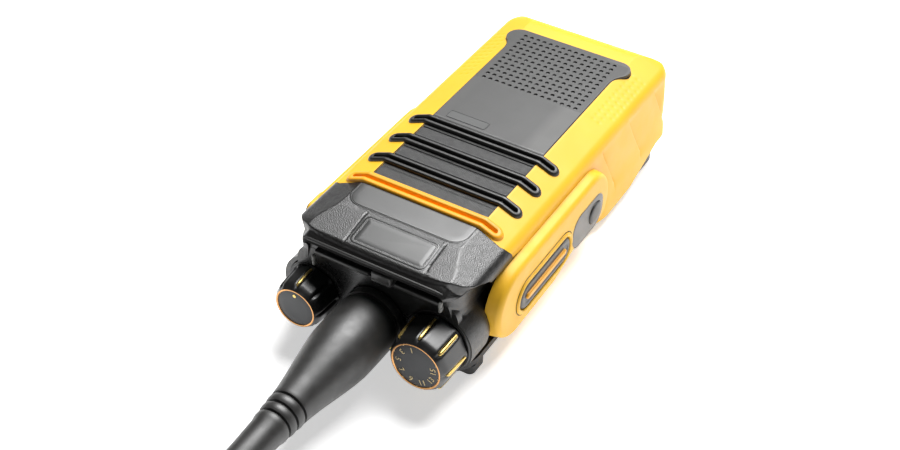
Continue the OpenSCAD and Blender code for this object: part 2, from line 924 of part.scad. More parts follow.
module battery_lid() {
    color("dimgray")
    difference() {
        translate([0, 0, battery_d - lid_t]) linear_extrude(lid_t) battery_plan(0, half_l - 3.2);
        box(-7, 7, -31, -26, battery_d - 0.5, battery_d + 1);
        box(-latch_w / 2 - 0.4, latch_w / 2 + 0.4, half_l - 7.5, half_l + 1, 0, battery_d + 1);
    }
}

module battery_cells() {
    color("royalblue")
    for (s = [-1, 1]) {
        translate([s * 11.3, 8, shell_t + 0.2]) linear_extrude(8.6) rounded(21.8, 82, 3.5);
    }
}

module battery_contacts() {
    color("gold")
    for (x = [-5, 0, 5]) {
        box(x - 1.6, x + 1.6, -30.6, -26.4, battery_d - 0.45, battery_d - 0.1);
    }
}

module battery_latch() {
    color("dimgray")
    difference() {
        box(-latch_w / 2, latch_w / 2, half_l - 4.6, battery_y1, latch_z, latch_z + latch_h);
        for (x = [-6:3:6]) {
            translate([x, battery_y1 + 0.3, latch_z - 1]) cylinder(h = 5, r = 0.6);
        }
    }
}

front_housing();
front_panel();
grille_bars();
model_tag();
top_housing();
brow_insert();
name_plate();
top_deck();
light_guide();
rear_chassis();
main_seal();
strap_lug();
clip_inserts();
chassis_screws();
ptt_bezel();
ptt_button();
ptt_accent();
side_key_inlay();
side_key();
side_switch_board();
dome_switches();
jack_block();
jack_cover();
jack_cover_pin();
main_board();
shield_cans();
board_screws();
speaker_felt();
speaker_frame();
speaker_cone();
speaker_magnet();
microphone();
microphone_boot();
volume_pot();
channel_switch();
bushing_nuts();
antenna_socket();
volume_knob();
volume_ring();
volume_cap();
volume_shaft();
channel_knob();
channel_ring();
channel_cap();
channel_shaft();
antenna_boot();
antenna_ferrule();
antenna_radiator();
contact_block();
contact_springs();
battery_shell();
battery_lid();
battery_cells();
battery_contacts();
battery_latch();
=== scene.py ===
"""Looks of the portable two-way radio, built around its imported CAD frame.

Sizes are in millimetres in the row frame and become metres when a mesh is made.
X runs across the front, Y along the body with the antenna at -Y, Z out of the front face.
"""

import json
import math
from collections import namedtuple
from functools import partial

import bmesh
import bpy
from mathutils import Matrix, Vector
from mathutils.geometry import tessellate_polygon


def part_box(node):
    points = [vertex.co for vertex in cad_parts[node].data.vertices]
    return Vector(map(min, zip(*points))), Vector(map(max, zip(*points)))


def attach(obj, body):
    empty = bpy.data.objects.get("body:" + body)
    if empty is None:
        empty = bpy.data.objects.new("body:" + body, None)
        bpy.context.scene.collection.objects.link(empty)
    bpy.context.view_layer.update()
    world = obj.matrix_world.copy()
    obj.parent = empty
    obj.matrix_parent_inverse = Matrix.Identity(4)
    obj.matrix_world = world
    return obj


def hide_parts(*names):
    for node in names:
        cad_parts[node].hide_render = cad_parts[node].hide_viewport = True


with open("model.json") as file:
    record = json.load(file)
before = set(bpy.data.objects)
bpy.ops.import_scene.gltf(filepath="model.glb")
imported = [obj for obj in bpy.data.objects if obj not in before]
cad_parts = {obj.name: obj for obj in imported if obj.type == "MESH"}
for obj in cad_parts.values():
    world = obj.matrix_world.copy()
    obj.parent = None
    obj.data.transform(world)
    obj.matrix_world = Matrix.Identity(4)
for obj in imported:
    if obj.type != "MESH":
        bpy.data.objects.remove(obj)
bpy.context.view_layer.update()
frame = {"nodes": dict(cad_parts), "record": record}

MM = 0.001


def span(node):
    """The low and high corner of a CAD node, in millimetres."""
    low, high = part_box(node)
    return low / MM, high / MM


def middle(node):
    """The middle of a CAD node's box, in millimetres."""
    low, high = span(node)
    return (low + high) / 2


# The section: half the width, the flat crown, the facet beside it, the shoulder and the side
TOP = span("front_panel")[1].z - 0.2
HALF_W = 27.0
CROWN = 17.7
FACET = math.radians(68)
SHOULDER_R = 3.5
SHOULDER_Z = 28.8
FACET_X = HALF_W - SHOULDER_R + SHOULDER_R * math.cos(FACET)
FACET_Z = SHOULDER_Z + SHOULDER_R * math.sin(FACET)
SIDE_DRAFT = 0.3
WALL = 1.7

# The length: where the far end, the black top end and the deck lie, and the radii of the corners. The sides
# lean out by LEAN low down towards the far end, and their lower edge rises between the two foot stations
BACK_Z = span("front_housing")[0].z
END_Y = span("front_housing")[1].y
HEAD_Y = span("top_housing")[0].y
SPLIT_Y = span("top_housing")[1].y
HEAD_BACK_Z = span("top_housing")[0].z
DECK_Y = -59.0
PLAN_R = 8.5
FAR_PLAN_R = 6.5
END_R = 9.0
LEAN = 1.9
FOOT_Y, FOOT_FULL_Y, FOOT_Z = 35.0, 52.0, 9.0

# The side pods
POD_X = span("front_housing")[1].x
POD_NOSE_Y, POD_TAIL_Y = span("front_housing")[0].y, 15.0
POD_R = 11.0
POD_LOW, POD_TAIL_LOW = 5.5, 9.2
KEY_HOLE_R = 3.6
PTT_HALF = 10.0

# The bars and their slots
BAR_PITCH = 10.3
BAR_YS = [middle("grille_bars").y + BAR_PITCH * i for i in (-1, 0, 1)]
BAR_HALF = 21.4
ACCENT_Y = -36.2
ACCENT_HALF = 21.2
SLOT_DEPTH = 1.3

# The front panel, its flared ears and its block of dimples
PANEL_NEAR = -33.2
PANEL_SIDE = CROWN - 0.6
EAR_Y, EAR_R, NECK_Y = 45.2, 4.1, 37.5
EAR_START = EAR_Y - 2.6
PANEL_FAR = EAR_Y + EAR_R
DIMPLE_X, DIMPLE_Y = 2.1, 2.3
DIMPLE_R = 0.56
DIMPLE_COLUMNS, DIMPLE_ROWS = 15, 12
DIMPLE_TOP = 47.6

# The knobs' axes, and the round cheeks of the top end beside them
KNOB_X = middle("channel_shaft").x
AXIS_Z = middle("channel_shaft").z
CHEEK_R = 9.8


# --- small maths

def clamp(v, low=0.0, high=1.0):
    """The value, held between low and high."""
    return max(low, min(high, v))


def smooth(v, start, end):
    """0 at start, 1 at end, with a soft step between."""
    t = clamp((v - start) / (end - start))
    return t * t * (3 - 2 * t)


def bump(distance, width):
    """A round ridge: 1 in the middle, fading over the width."""
    return math.exp(-(distance / width) ** 2)


def between(points, v):
    """Straight interpolation through (position, value) points."""
    if v <= points[0][0]:
        return points[0][1]
    for (a, va), (b, vb) in zip(points, points[1:]):
        if v <= b:
            return va + (vb - va) * (v - a) / (b - a)
    return points[-1][1]


def steps(start, end, size):
    """Evenly spaced values from start to end, about size apart, both ends included."""
    count = max(1, round(abs(end - start) / size))
    return [start + (end - start) * i / count for i in range(count + 1)]


# --- meshes

def place_object(name, data):
    """A new object in the scene, holding this data."""
    thing = bpy.data.objects.new(name, data)
    bpy.context.scene.collection.objects.link(thing)
    return thing


def piece(name, shape, material, body="radio_body", sharp=40, replaces=()):
    """A finished piece from a shape, which is (points in millimetres, faces), riding on a body."""
    points, faces = shape
    mesh = bpy.data.meshes.new(name)
    mesh.from_pydata([Vector(p) * MM for p in points], [], faces)
    bm = bmesh.new()
    bm.from_mesh(mesh)
    bmesh.ops.remove_doubles(bm, verts=bm.verts, dist=1e-6)
    bmesh.ops.dissolve_degenerate(bm, edges=bm.edges, dist=1e-7)
    bmesh.ops.recalc_face_normals(bm, faces=bm.faces)
    bm.to_mesh(mesh)
    bm.free()
    mesh.polygons.foreach_set("use_smooth", [True] * len(mesh.polygons))
    mesh.set_sharp_from_angle(angle=math.radians(sharp))
    mesh.materials.append(material)
    thing = place_object(name, mesh)
    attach(thing, body)
    if replaces:
        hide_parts(*replaces)
    return thing


def sheet_of(rows, closed=False):
    """Points and quads of a grid of rows. closed joins each row's end to its start."""
    width = len(rows[0])
    points = [p for row in rows for p in row]
    faces = []
    for i in range(len(rows) - 1):
        for j in range(width if closed else width - 1):
            k = (j + 1) % width
            a, b = i * width, (i + 1) * width
            faces.append((a + j, a + k, b + k, b + j))
    return points, faces


def capped(rows, first=True):
    """A closed grid with a face over its last row and, unless first is off, over its first."""
    points, faces = sheet_of(rows, closed=True)
    width = len(rows[0])
    if first:
        faces.append(tuple(range(width))[::-1])
    faces.append(tuple(range(len(points) - width, len(points))))
    return points, faces


def joined(*parts):
    """Several (points, faces) as one."""
    points, faces = [], []
    for part_points, part_faces in parts:
        start = len(points)
        points += part_points
        faces += [tuple(i + start for i in face) for face in part_faces]
    return points, faces


# --- outlines

def arc(centre, r, start, end, count):
    """Points on an arc between two angles in degrees, both ends included."""
    return [(centre[0] + r * math.cos(math.radians(start + (end - start) * i / count)),
             centre[1] + r * math.sin(math.radians(start + (end - start) * i / count)))
            for i in range(count + 1)]


def line(a, b, count):
    """Evenly spaced points from a towards b, without b."""
    return [(a[0] + (b[0] - a[0]) * i / count, a[1] + (b[1] - a[1]) * i / count)
            for i in range(count)]


def circle(centre, r, count):
    """Points round a circle."""
    return arc(centre, r, 0, 360, count)[:-1]


def ring(x, y, r, count, z=AXIS_Z):
    """Points round a circle that faces along Y."""
    return [(a, y, b) for a, b in circle((x, z), r, count)]


def stadium(centre, half, r, turn=16):
    """A slot outline along the first axis, whose end centres are half from the middle."""
    x, y = centre
    count = round(half * 4)
    return (line((x - half, y - r), (x + half, y - r), count)
            + arc((x + half, y), r, -90, 90, turn)[:-1]
            + line((x + half, y + r), (x - half, y + r), count)
            + arc((x - half, y), r, 90, 270, turn)[:-1])


def rounded(centre, w, h, r, count=12, turn=8):
    """A rectangle with round corners."""
    x, y = centre
    r = max(r, 0.02)
    a, b = w / 2 - r, h / 2 - r
    corners = [arc((x + sx * a, y + sy * b), r, 90 * i - 90, 90 * i, turn)
               for i, (sx, sy) in enumerate([(1, -1), (1, 1), (-1, 1), (-1, -1)])]
    outline = []
    for corner, following in zip(corners, corners[1:] + corners[:1]):
        outline += corner[:-1] + line(corner[-1], following[0], count)
    return outline


def rounded_of(centre, w, h, r):
    """A rounded rectangle as a function of its inset."""
    return lambda inset: rounded(centre, w - 2 * inset, h - 2 * inset, r - inset)


def box_outline(low, high, r):
    """The rounded outline of a box seen along X, as a function of its inset."""
    centre = ((low.y + high.y) / 2, (low.z + high.z) / 2)
    return rounded_of(centre, high.y - low.y, high.z - low.z, r)


def nested(outline, profile, place):
    """Rings of an outline. profile has (inset, height) pairs, and outline takes the first of a pair."""
    return [[place(a, b, height) for a, b in outline(inset)] for inset, height in profile]


def raised(outline, profile, place):
    """Rings of an outline with a face over the last one: (points, faces)."""
    return capped(nested(outline, profile, place), first=False)


def holed_face(outer, holes, place, height, depth):
    """A flat face with holes, and a short wall down each hole: (points, faces)."""
    loops = [outer] + holes
    triangles = tessellate_polygon([[Vector((a, b, 0)) for a, b in loop] for loop in loops])
    face = [place(a, b, height) for loop in loops for a, b in loop], [tuple(t) for t in triangles]
    levels = (height, height - depth)
    walls = [sheet_of([[place(a, b, level) for a, b in hole] for level in levels], closed=True)
             for hole in holes]
    return joined(face, *walls)


# --- the housing's skin

def front_z(x):
    """Height of the housing's front above the back face, at this far from the middle."""
    a = abs(x)
    if a <= FACET_X:
        return between([(CROWN, TOP), (FACET_X, FACET_Z)], a)
    return SHOULDER_Z + math.sqrt(max(0.0, SHOULDER_R ** 2 - (a - HALF_W + SHOULDER_R) ** 2))


# How far the top end falls below the crown: (y, fall)
HEAD_PROFILE = [(-61.2, 4.0), (-60.9, 3.6), (-60.4, 3.05), (-59.6, 2.45), (-58.6, 1.85), (-48.6, 0.13),
                (-47.2, 0.0)]


def turn_in(past, r):
    """How far a round corner has turned in, this far past its start."""
    past = clamp(past, 0, r)
    return r - math.sqrt(r ** 2 - past ** 2)


def drop(y):
    """How far the crown falls below its full height near either end."""
    return between(HEAD_PROFILE, y) if y < -40 else turn_in(y - (END_Y - END_R), END_R)


def front_at(x, y, height):
    """A point this far above the front face."""
    return (x, y, min(front_z(x), TOP - drop(y)) + height)


# A place on the section, its normal, and on the sides its share of the way down
Column = namedtuple("Column", "x z nx nz share")


def skin_columns(crown_xs):
    """Half of the section, from the middle to a side's lower edge."""
    columns = [Column(x, TOP, 0.0, 1.0, None) for x in crown_xs]
    columns += [Column(x, front_z(x), math.cos(FACET), math.sin(FACET), None)
                for x in steps(CROWN, FACET_X, 0.3)]
    for i in range(1, 9):
        a = FACET * (1 - i / 8)
        nx, nz = math.cos(a), math.sin(a)
        share = 0.0 if i == 8 else None
        columns.append(Column(HALF_W - SHOULDER_R * (1 - nx), SHOULDER_Z + SHOULDER_R * nz, nx, nz, share))
    return columns + [Column(HALF_W - SIDE_DRAFT * i / 28, None, 1.0, 0.0, i / 28) for i in range(1, 29)]


def both_sides(half):
    """(side, column) pairs right across the section."""
    return [(-1, column) for column in half[::-1]] + [(1, column) for column in half[1:]]


def column_z(column, bottom):
    """Height of a column, where the sides end at the bottom."""
    return column.z if column.share is None else SHOULDER_Z - column.share * (SHOULDER_Z - bottom)


def skin_point(column, side, y, inset, bottom, relief):
    """A point of the housing's skin in a column, at y. inset draws the sides in at a corner."""
    x = column.x + LEAN * (column.share or 0) * smooth(y, 10, 20)
    z = min(column_z(column, bottom), TOP - drop(y))
    x -= inset * smooth(x, 4, CROWN)
    depth = relief(side * x, y, z)
    return (side * (x - column.nx * depth), y, z - column.nz * depth)


def corner_inset(y):
    """How far a plan corner draws the side in, at this y."""
    r = FAR_PLAN_R if y > 0 else PLAN_R
    return turn_in(abs(y) - (END_Y - r), r)


def foot_line(y):
    """Lower edge of the front housing."""
    return between([(FOOT_Y, BACK_Z), (FOOT_FULL_Y, FOOT_Z)], y)


SCALLOPS = (14.9, 32.3, 49.5)
SCALLOP_SLOPE = 0.555
GRIP_X, GRIP_Y = 20.4, 21.2
GRIP_STEP_X, GRIP_STEP_Y = 1.9, 2.3


def slant(station, z):
    """How far the side's stations move along Y at this height, so that they follow the grip hollows."""
    fall = SHOULDER_Z - clamp(z, 12.0, SHOULDER_Z)
    return SCALLOP_SLOPE * fall * between([(0, 0), (14, 1), (51, 1), (END_Y, 0)], station)


def scallop(station, z):
    """Depth of the grip hollows on a side. Each starts at a slanted edge and fades out."""
    depth = 0.0
    for edge in SCALLOPS:
        past = station - edge
        depth += 0.7 * smooth(past, -0.35, 0.1) * math.exp(-max(past, 0) / 4.0)
        depth += 0.45 * bump(past + 0.1, 0.22)
    return depth * smooth(z, 9.5, 14) * smooth(z, 29.5, 27.0)


def bar_hollow(x, y):
    """1 under the slot of a bar and 0 beside it."""
    past = max(0.0, abs(x) - BAR_HALF)
    return sum(smooth(math.hypot(past, y - bar), 1.8, 1.4) for bar in BAR_YS + [ACCENT_Y])


def housing_relief(x, y, z, station):
    """Depth of the hollows in the yellow housing: grips, shoulder dimples, slots and the panel's seat."""
    depth = scallop(station, z) + SLOT_DEPTH * bar_hollow(x, y) * smooth(z, 26, 29)
    if PANEL_NEAR < y < PANEL_FAR:
        ends = smooth(y, PANEL_NEAR, PANEL_NEAR + 0.3) * smooth(y, PANEL_FAR, PANEL_FAR - 0.3)
        depth += 0.9 * ends * smooth(panel_half(y) - abs(x), 0.0, 0.35)
    row = round((y - GRIP_Y) / GRIP_STEP_Y)
    for i in range(3):
        off = abs(x) - (GRIP_X + GRIP_STEP_X * i)
        if abs(off) < 1.1 and 20 < y < 47.5 and 2 * i <= row + 2:
            depth += 0.14 * bump(math.hypot(off, y - GRIP_Y - GRIP_STEP_Y * row), 0.42)
    return depth


# How much longer a facet is than it is wide, and the distance from the crown's middle to the shoulder
FACET_STRETCH = 1.09
SHOULDER_RUN = 29.55


def along_section(x, z):
    """How far round the section a point lies from the middle of the crown."""
    a = abs(x)
    if z < SHOULDER_Z:
        return SHOULDER_RUN + SHOULDER_Z - z
    return a * FACET_STRETCH if a > CROWN else a


# The seam between the yellow front and the black top end: (distance round the section, y)
SEAM = [(20, SPLIT_Y), (22, SPLIT_Y - 0.3), (26.5, SPLIT_Y - 0.6), (28.6, SPLIT_Y + 0.2), (29.8, -36.6),
        (31.6, -34.3), (34.3, -32.0)]


def front_seam(x, z):
    """The y of the seam at a point of the section."""
    return between(SEAM, along_section(x, z))


def housing_rows():
    """Stations along the yellow housing."""
    ys = steps(SPLIT_Y, 0, 0.3) + steps(0, 16, 0.8)[1:] + steps(16, END_Y - FAR_PLAN_R, 0.36)[1:]
    ys += [END_Y - FAR_PLAN_R + FAR_PLAN_R * math.sin(math.radians(a)) for a in range(4, 91, 4)]
    ys += [edge + past for edge in SCALLOPS for past in (-0.5, -0.35, -0.2, -0.1, 0.0, 0.15, 0.3)]
    return sorted(set(round(y, 3) for y in ys))


# Where the rows near the seam stop bending to it, the height that stands for a side, and the lip's height
WARP_END = -28
SIDE_SEAM_Z = 20
LIP = 5


def build_housing():
    """The yellow front shell, with a lip folded in round its open back."""
    half = skin_columns([0, 3, 6, 9, 12, 14, 16, 16.8, 17.3])
    rows = []
    for y in housing_rows():
        relief = partial(housing_relief, station=y)
        row = []
        for side, column in both_sides(half):
            seam = front_seam(column.x, column.z or SIDE_SEAM_Z)
            warped = y + (seam - SPLIT_Y) * clamp((WARP_END - y) / (WARP_END - SPLIT_Y))
            warped += slant(y, column_z(column, foot_line(y + 6)))
            row.append(skin_point(column, side, warped, corner_inset(warped), foot_line(warped), relief))
        (left_x, left_y, low), (right_x, right_y, _) = row[0], row[-1]
        left = [(left_x + WALL, left_y, low + up) for up in (LIP, 0)]
        right = [(right_x - WALL, right_y, low + up) for up in (0, LIP)]
        rows.append(left + row + right)
    points, faces = sheet_of(rows)
    width = len(rows[0])
    last = (len(rows) - 1) * width
    faces.append(tuple(range(last + 1, last + width - 1)))
    piece("housing_shell", (points, faces), YELLOW, sharp=35, replaces=["front_housing"])


def pod_outline(inset):
    """A side pod seen from the side, drawn in by the inset."""
    rise_y = middle("side_key").y - 11.5
    nose = arc((POD_NOSE_Y + POD_R, POD_LOW + POD_R), POD_R - inset, 270, 90, 30)
    tail = arc((POD_TAIL_Y - POD_R, POD_LOW + POD_R), POD_R - inset, 90, -30, 20)
    foot = [(POD_TAIL_Y - 3 - inset, POD_TAIL_LOW + inset), (rise_y, POD_TAIL_LOW + inset),
            (rise_y - 11, POD_LOW + 0.5 + inset)]
    return (nose[:-1] + line(nose[-1], tail[0], 20) + tail[:-1] + line(tail[-1], foot[0], 4)
            + line(foot[0], foot[1], 12) + line(foot[1], foot[2], 8) + line(foot[2], nose[0], 14))


POD_EDGE_R = 1.7


def on_side(side, a, b, height):
    """A point this far outside a pod's face."""
    return (side * (POD_X + height), a, b)


on_right = partial(on_side, 1)
on_left = partial(on_side, -1)


def build_pods():
    """The two raised pods, with a soft round edge and holes for what moves in them."""
    edge = [(x + POD_EDGE_R, z - POD_EDGE_R) for x, z in arc((0, 0), POD_EDGE_R, 180, 90, 10)]
    profile = [(-0.5, -4.2), (-0.15, -2.4), *edge, (4.0, 0.0)]
    right_holes = [slot_about("ptt_bezel", PTT_HALF, 4.9)(0), key_circle(KEY_HOLE_R)]
    left_holes = [jack_outline(0.35)]
    for name, place, holes in (("pod_right", on_right, right_holes), ("pod_left", on_left, left_holes)):
        shell = sheet_of(nested(pod_outline, profile, place), closed=True)
        face = holed_face(pod_outline(profile[-1][0]), holes, place, 0.0, 1.8)
        piece(name, joined(shell, face), YELLOW, sharp=50)


# --- the front panel

def ear_half(y):
    """Half the panel's width across its round ears."""
    return PANEL_SIDE - 1.2 + math.sqrt(max(0.0, EAR_R ** 2 - (y - EAR_Y) ** 2))


def panel_half(y):
    """Half the width of the black panel at this y: straight sides that flare to round ears."""
    if y <= NECK_Y:
        return PANEL_SIDE
    if y <= EAR_START:
        t = (y - NECK_Y) / (EAR_START - NECK_Y)
        return PANEL_SIDE + (ear_half(EAR_START) - PANEL_SIDE) * t ** 2.2
    return ear_half(y)


def dimple_tile(x, y, z):
    """One tile of the panel with a round hollow in it: (points, faces)."""
    w, h = DIMPLE_X, DIMPLE_Y
    count = 16
    rim = []
    for i in range(count):
        a = math.tau * (i + 0.5) / count
        reach = 1 / max(abs(math.cos(a)) / (w / 2), abs(math.sin(a)) / (h / 2))
        rim.append((math.cos(a), math.sin(a), reach))
    corners = [(w / 2, h / 2), (-w / 2, h / 2), (-w / 2, -h / 2), (w / 2, -h / 2)]
    for cx, cy in corners:
        a = math.atan2(cy, cx)
        nearest = min(range(count), key=lambda i: math.dist(rim[i][:2], (math.cos(a), math.sin(a))))
        rim[nearest] = (cx / math.hypot(cx, cy), cy / math.hypot(cx, cy), math.hypot(cx, cy))
    rows = [[(x + c * reach, y + s * reach, z) for c, s, reach in rim]]
    for share, depth in ((1.12, 0.0), (1.0, 0.08), (0.9, 0.4), (0.5, 0.5)):
        r = DIMPLE_R * share
        rows.append([(x + c * r, y + s * r, z - depth) for c, s, _ in rim])
    return capped(rows, first=False)


def build_panel():
    """The black panel: a plain part, the dimpled block and a thin edge that meets the housing."""
    z = TOP + 0.15
    half_block = DIMPLE_COLUMNS * DIMPLE_X / 2
    block_low = DIMPLE_TOP - DIMPLE_ROWS * DIMPLE_Y
    ys = steps(PANEL_NEAR, block_low, 0.25) + steps(block_low, DIMPLE_TOP, DIMPLE_Y / 4)[1:]
    ys += steps(DIMPLE_TOP, PANEL_FAR, 0.3)[1:-1]
    ys += [EAR_Y + EAR_R * math.sin(math.radians(a)) for a in (72, 80, 86, 90)]
    ys = sorted(set(round(y, 4) for y in ys))

    def height(y):
        groove = sum(0.25 * bump(y - bar + 3.1, 0.14) + 0.2 * bump(y - bar - 2.75, 0.14) for bar in BAR_YS)
        lower = 0.3 * smooth(y, BAR_YS[-1] + 1.0, BAR_YS[-1] - 1.0)
        return z - groove - lower - SLOT_DEPTH * bar_hollow(0, y)

    def left(y):
        return -panel_half(y)

    def strip(start, end, low, high):
        """Rows between two sides. start and end give x for a y."""
        rows = [[(start(y) + (end(y) - start(y)) * i / 8, y, height(y)) for i in range(9)]
                for y in ys if low - 1e-3 <= y <= high + 1e-3]
        return sheet_of(rows)

    parts = [
        strip(left, panel_half, PANEL_NEAR, block_low),
        strip(left, lambda y: -half_block, block_low, DIMPLE_TOP),
        strip(lambda y: half_block, panel_half, block_low, DIMPLE_TOP),
        strip(left, panel_half, DIMPLE_TOP, PANEL_FAR),
    ]
    for i in range(DIMPLE_COLUMNS):
        for j in range(DIMPLE_ROWS):
            parts.append(dimple_tile((i + 0.5) * DIMPLE_X - half_block, block_low + (j + 0.5) * DIMPLE_Y, z))
    for side in (-1, 1):
        edge = [[(side * panel_half(y), y, height(y)),
                 (side * (panel_half(y) + 0.08), y, height(y) - 0.08),
                 (side * (panel_half(y) + 0.1), y, TOP - 0.6)] for y in ys]
        parts.append(sheet_of(edge))
    for y, out in ((PANEL_FAR, 0.1), (PANEL_NEAR, -0.1)):
        xs = steps(left(y), panel_half(y), panel_half(y) / 4)
        parts.append(sheet_of([[(x, y, height(y)) for x in xs], [(x, y + out, TOP - 0.6) for x in xs]]))
    panel = piece("front_panel_skin", joined(*parts), PANEL, sharp=30,
                  replaces=["front_panel"])
    panel.data.materials.append(STRIP_LEATHER)
    for polygon in panel.data.polygons:
        polygon.material_index = 1 if polygon.center.y / MM < BAR_YS[-1] else 0

    # A thin dark strip on the housing round the panel's edge: a painted shadow line for the gap between
    # panel and housing.
    gap = [[(side * (panel_half(y) + off), y, front_z(panel_half(y) + off) + lift)
            for off, lift in ((0.05, 0.03), (0.3, 0.02), (0.32, -0.2))]
           for side in (-1, 1) for y in (ys if side < 0 else ys[::-1])]
    piece("panel_gap_shadow", sheet_of(gap), SHADOW_GAP, sharp=30)


# Section of a bar's rim: (distance from the slot's middle, height)
RIM_PROFILE = [(0.03, -0.9), (0.5, -0.9), (0.53, -0.4), (0.56, 0.45), (0.66, 0.72), (0.86, 0.84),
               (1.2, 0.88), (1.55, 0.84), (1.78, 0.66), (1.92, 0.36), (1.97, 0.05), (1.98, -0.5)]


def rim_rows(centre_y, half, wider=0.0, taller=0.0):
    """A raised bar with a slot along it, which follows the front's facets."""
    return [[front_at(a, b, h + (taller if h > 0 else 0))
             for a, b in stadium((0, centre_y), half, r + (wider if r > 1 else 0))]
            for r, h in RIM_PROFILE]


def build_bars():
    """Three black bars and the yellow one below them."""
    bars = joined(*[sheet_of(rim_rows(y, BAR_HALF), closed=True) for y in BAR_YS])
    piece("slotted_bars", bars, BAR_BLACK, sharp=45, replaces=["grille_bars"])
    # The yellow bar takes the darker, more orange copy of the yellow: painted shade.
    accent = sheet_of(rim_rows(ACCENT_Y, ACCENT_HALF, wider=0.25, taller=0.1), closed=True)
    piece("accent_bar", accent, YELLOW_SHADED, sharp=45)


def build_tag():
    """A blank outlined tag near the far bar."""
    outline = rounded_of(middle("model_tag").xy, 12.6, 3.6, 0.9)
    profile = [(0.0, -0.1), (0.0, 0.2), (0.08, 0.27), (0.28, 0.27), (0.36, 0.19), (0.9, 0.19)]
    piece("blank_tag", raised(outline, profile, front_at), GREY, sharp=30,
          replaces=["model_tag"])


# --- the black top end

# Where the brow's edge lies: (distance round the section, y)
BROW_EDGE = [(0, -59.6), (15, -59.3), (21, -59.0), (24, -58.3), (26.5, -56.8), (28.1, -54.6), (29.1, -51.0),
             (29.6, -47.0), (30.2, -41.0), (30.8, -37.6)]
PLATE_X = middle("name_plate").x


def head_relief(x, y, z, past):
    """Depth of the top end's skin. past is the distance beyond the brow's edge."""
    depth = (0.75 + 2.4 * smooth(along_section(x, z), 21, 27)) * smooth(past, -0.3, 0.5)
    depth += 0.25 * bump(abs(x - PLATE_X) - 11.7, 0.16) * smooth(y, -47.4, -48.4) * smooth(y, -60, -59)
    depth += 0.22 * bump(y + 47.6, 0.16) * smooth(abs(x), 13.4, 12.4)
    return depth


# How far the top end reaches at a height: (z, y)
HEAD_SIDE_END = [(23.0, DECK_Y), (25.0, -59.4), (27.0, -59.8), (29.3, -60.3), (31.0, HEAD_Y)]
DECK_TOP = 26.3


def cheek(z):
    """How wide the top end is where it wraps round a knob."""
    square = CHEEK_R ** 2 - (z - AXIS_Z) ** 2
    return KNOB_X + math.sqrt(square) if square > 0 else 0.0


EDGE_STEPS = (-0.6, -0.4, -0.2, 0.0, 0.2, 0.4)
SEAM_GAP = 0.12
LIP_Z = TOP - 4.6


def head_stations(end, edge, seam):
    """Stations along one column of the top end, with a cluster at the brow's edge."""
    edge = clamp(edge, end + 0.7, seam - 0.7)
    cluster = [edge + past for past in EDGE_STEPS]
    near = [end + (cluster[0] - end) * i / 10 for i in range(10)]
    far = [cluster[-1] + (seam - cluster[-1]) * i / 60 for i in range(1, 61)]
    return near + cluster + far


def build_head():
    """The black top end: brow, side walls and the rim round the deck."""
    half = skin_columns([0, 2, 4, 6, 8] + steps(8.6, 14.4, 0.22) + [15, 16, 17, 17.4])
    columns = []
    for side, column in both_sides(half):
        z = column_z(column, HEAD_BACK_Z)
        edge = between(BROW_EDGE, along_section(column.x, z))
        points = []
        for y in head_stations(between(HEAD_SIDE_END, z), edge, front_seam(column.x, z) - SEAM_GAP):
            relief = partial(head_relief, past=edge - y)
            px, py, pz = skin_point(column, side, y, corner_inset(y), HEAD_BACK_Z, relief)
            px += side * max(0.0, cheek(pz) - abs(px)) * smooth(py, -44, -50)
            points.append((px, py, pz))
        columns.append(points)
    rows = [list(row) for row in zip(*columns)]
    rim, inner, wall = [], [], []
    for x, y, z in rows[0]:
        side_share = smooth(z, LIP_Z, LIP_Z - 3)
        rim_x = x - math.copysign(1.5 * side_share, x)
        rim_z = min(z, LIP_Z)
        rim.append((rim_x, y + 0.1 - 0.12 * side_share, rim_z))
        inner.append((rim_x, DECK_Y, rim_z))
        wall.append((rim_x, DECK_Y + 0.1, min(rim_z, DECK_TOP)))
    head = piece("top_end_shell", sheet_of([wall, inner, rim] + rows), LEATHER, sharp=55,
                 replaces=["top_housing"])
    head.data.materials.append(SATIN_BLACK)
    for polygon in head.data.polygons:
        centre = polygon.center / MM
        on_lip = centre.y < HEAD_Y + 0.2
        behind_knobs = centre.y > DECK_Y and abs(centre.x) < 21 and centre.z < 28
        polygon.material_index = int(on_lip or behind_knobs)


def build_brow_parts():
    """The smooth tongue below the yellow bar and the blank plate beside the deck."""
    def tongue_outline(inset):
        w = 17.2 - inset
        r = max(4.0 - inset, 0.3)
        low = -46.6 + inset
        high = SPLIT_Y - 0.1
        left = arc((-w + r, low + r), r, 180, 270, 10)
        right = arc((w - r, low + r), r, 270, 360, 10)
        return (line((-w, high), left[0], 8) + left[:-1] + line(left[-1], right[0], 30)
                + right[:-1] + line(right[-1], (w, high), 8) + line((w, high), (-w, high), 30))

    tongue_profile = [(-0.45, 0.02), (-0.25, 0.1), (-0.12, 0.02), (0.0, -0.1), (0.12, 0.12), (0.4, 0.16),
                      (2.0, 0.17)]
    piece("tongue", raised(tongue_outline, tongue_profile, front_at), GREY_DARK,
          replaces=["brow_insert"])
    plate_profile = [(-0.4, 0.0), (-0.22, 0.12), (0.0, 0.14), (0.12, -0.12), (0.5, -0.16), (0.55, -0.05),
                     (0.75, 0.02), (2.0, 0.02)]
    piece("blank_plate", raised(rounded_of((PLATE_X, -53.3), 21.2, 8.8, 1.3), plate_profile, front_at),
          GREY_DARK, replaces=["name_plate"])


def bar_piece(x0, x1, y, z, w, h, r):
    """A rounded bar along X: (points, faces)."""
    rows = []
    ends = [(x0, 0.3), (x0 + 0.12, 0.1), (x0 + 0.3, 0.0), (x1 - 0.3, 0.0), (x1 - 0.12, 0.1), (x1, 0.3)]
    for x, inset in ends:
        outline = rounded((y, z), w - 2 * inset, h - 2 * inset, r, count=1, turn=4)
        rows.append([(x, a, b) for a, b in outline])
    return capped(rows)


